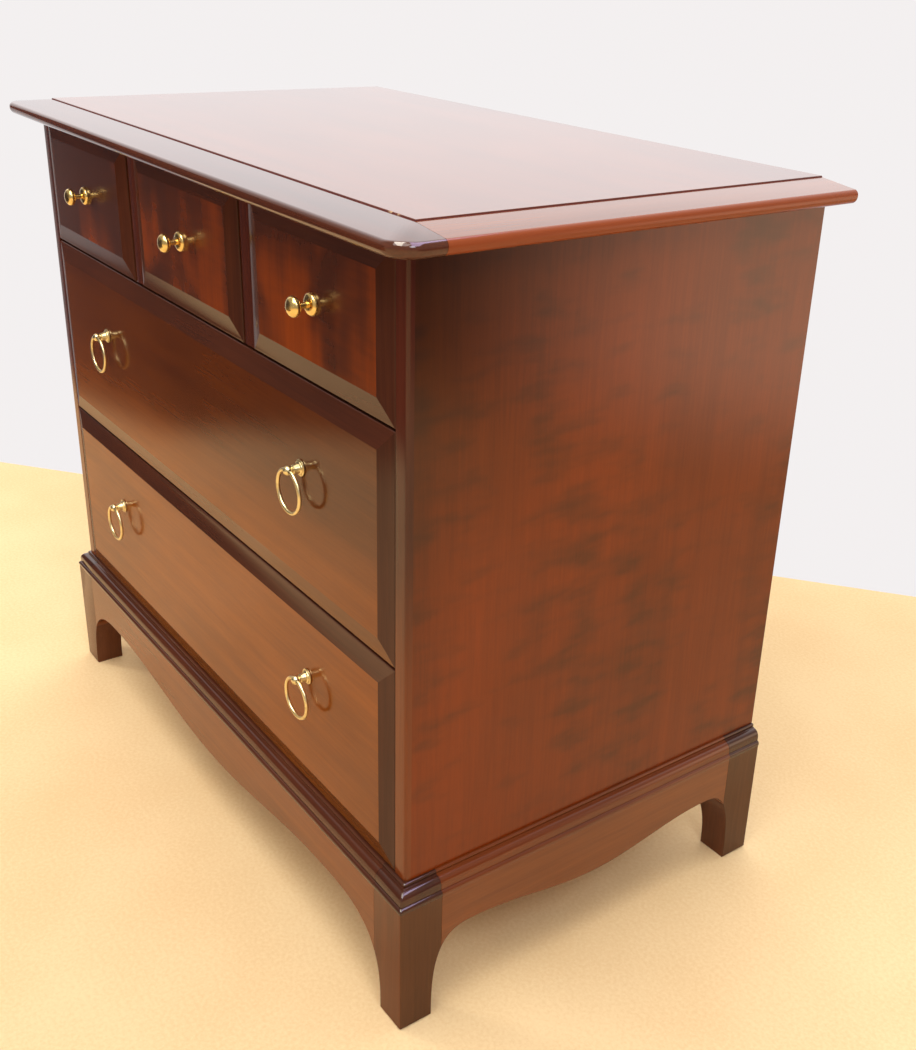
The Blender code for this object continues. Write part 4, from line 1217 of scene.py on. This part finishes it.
VIOLET_STRIP = ((-0.20, 0.30, 2.20), (0.60, -0.05, 2.20), (1.90, -0.35, 2.20)), (0.0, 0.75, 0.0)
VIOLET_GLINT = shade(0.70, 0.62, 1.0), 8.0


def times(colour, strength):
    return tuple(part * strength for part in colour[:3]) + (1.0,)


def light_world():
    """A surround that is pale behind the chest and dimmer in front of it."""
    world = bpy.data.worlds.new("surround")
    bpy.context.scene.world = world
    world.use_nodes = True
    recipe = Recipe(world.node_tree)
    way = recipe.node("ShaderNodeTexCoord", output="Generated")
    dot = {"operation": "DOT_PRODUCT"}
    facing = recipe.node("ShaderNodeVectorMath", dot, {0: way, 1: BACK_WAY}, "Value")
    up = recipe.node("ShaderNodeSeparateXYZ", None, {0: way}, 2)
    rise = up.most(0.0).least(PALEST_HEIGHT) * (1 / PALEST_HEIGHT)
    low, high = BACK_STRENGTH, BACK_STRENGTH + PALEST_HEIGHT * BACK_GAIN
    back = recipe.blend(rise, times(BACK_LIGHT, low), times(BACK_LIGHT, high))
    room = recipe.blend(facing.between(*BACK_SPREAD), times(FRONT_LIGHT, FRONT_STRENGTH), back)
    seen = recipe.node("ShaderNodeLightPath", output="Is Camera Ray")
    background = world.node_tree.nodes["Background"]
    recipe.feed(background, {"Color": recipe.blend(seen, room, SEEN_LIGHT), "Strength": 1.0})


def place_card(name, foot, rise, finish):
    """A card that only the lacquer and the brass show, drawn out from its lower edge."""
    mesh = bmesh.new()
    ends = [mesh.verts.new(spot) for spot in foot]
    edges = [mesh.edges.new(pair) for pair in zip(ends, ends[1:])]
    grown = bmesh.ops.extrude_edge_only(mesh, edges=edges)["geom"]
    move(mesh, rise, points_in(grown))
    card = add_object(name, written(mesh, name, finish.material))
    card.visible_camera = card.visible_diffuse = False
    card.visible_shadow = card.visible_transmission = False


light_world()
dark = Finish("dark_card", Roughness=0.9)
dark.paint(Base_Color=DARK, Alpha=dark.axes()[2].between(*DARK_FOOT_FADE))
place_card("dark_card", DARK_CARD, CARD_RISE, dark)
bright = Finish("bright_card", Roughness=0.9)
x, y, z = bright.axes()
haze = bright.blend(y.between(*HAZE_START), DARK, times(HAZE, HAZE_STRENGTH))
veil = z.between(*HAZE_FOOT_FADE) * z.between(*HAZE_HEAD_FADE)
bright.paint(Base_Color=DARK, Emission_Color=haze, Emission_Strength=1.0, Alpha=veil)
place_card("bright_card", BRIGHT_CARD, CARD_RISE, bright)
strips = {"white_strip": (WHITE_STRIP, WHITE_GLINT), "violet_strip": (VIOLET_STRIP, VIOLET_GLINT)}
for name, (strip, (colour, strength)) in strips.items():
    glow = Finish(name, Roughness=0.9, Emission_Color=colour, Emission_Strength=strength)
    place_card(name, *strip, glow)
print("the surround is lit")

# %% [markdown]
# ## The lamps
# A small window far out at the front left, a metre up, throws the soft shadow of each ring on its
# drawer. A ceiling light fills from above, and a bluish window high at the right lights the side.

# %% Hang the lamps
def hang_lamp(name, place, target, size, radiance, colour, glints=True):
    """A rectangular soft lamp of a given brightness to look at."""
    data = bpy.data.lights.new(name, "AREA")
    data.shape = "RECTANGLE"
    data.size, data.size_y = size
    data.energy = radiance * math.pi * size[0] * size[1]
    data.color = colour
    lamp = add_object(name, data)
    lamp.location = place
    way = Vector(target) - Vector(place)
    lamp.rotation_euler = way.to_track_quat("-Z", "Y").to_euler()
    lamp.visible_camera = False
    lamp.visible_glossy = glints


WARM = (1.0, 0.97, 0.93)
COOL = (0.82, 0.88, 1.0)

hang_lamp("front_window", place=(-2.35, -1.77, 1.03), target=(0, -0.2, 0.4), size=(0.45, 0.6),
          radiance=38.0, colour=WARM, glints=False)
hang_lamp("ceiling_light", place=(0.6, -0.9, 2.7), target=(0.1, -0.1, 0.3), size=(1.8, 1.8),
          radiance=4.6, colour=WARM)
hang_lamp("right_window", place=(1.9, -0.5, 2.0), target=(0.4, 0, 0.4), size=(0.7, 0.7),
          radiance=10.0, colour=COOL)
print("three lamps are hung")
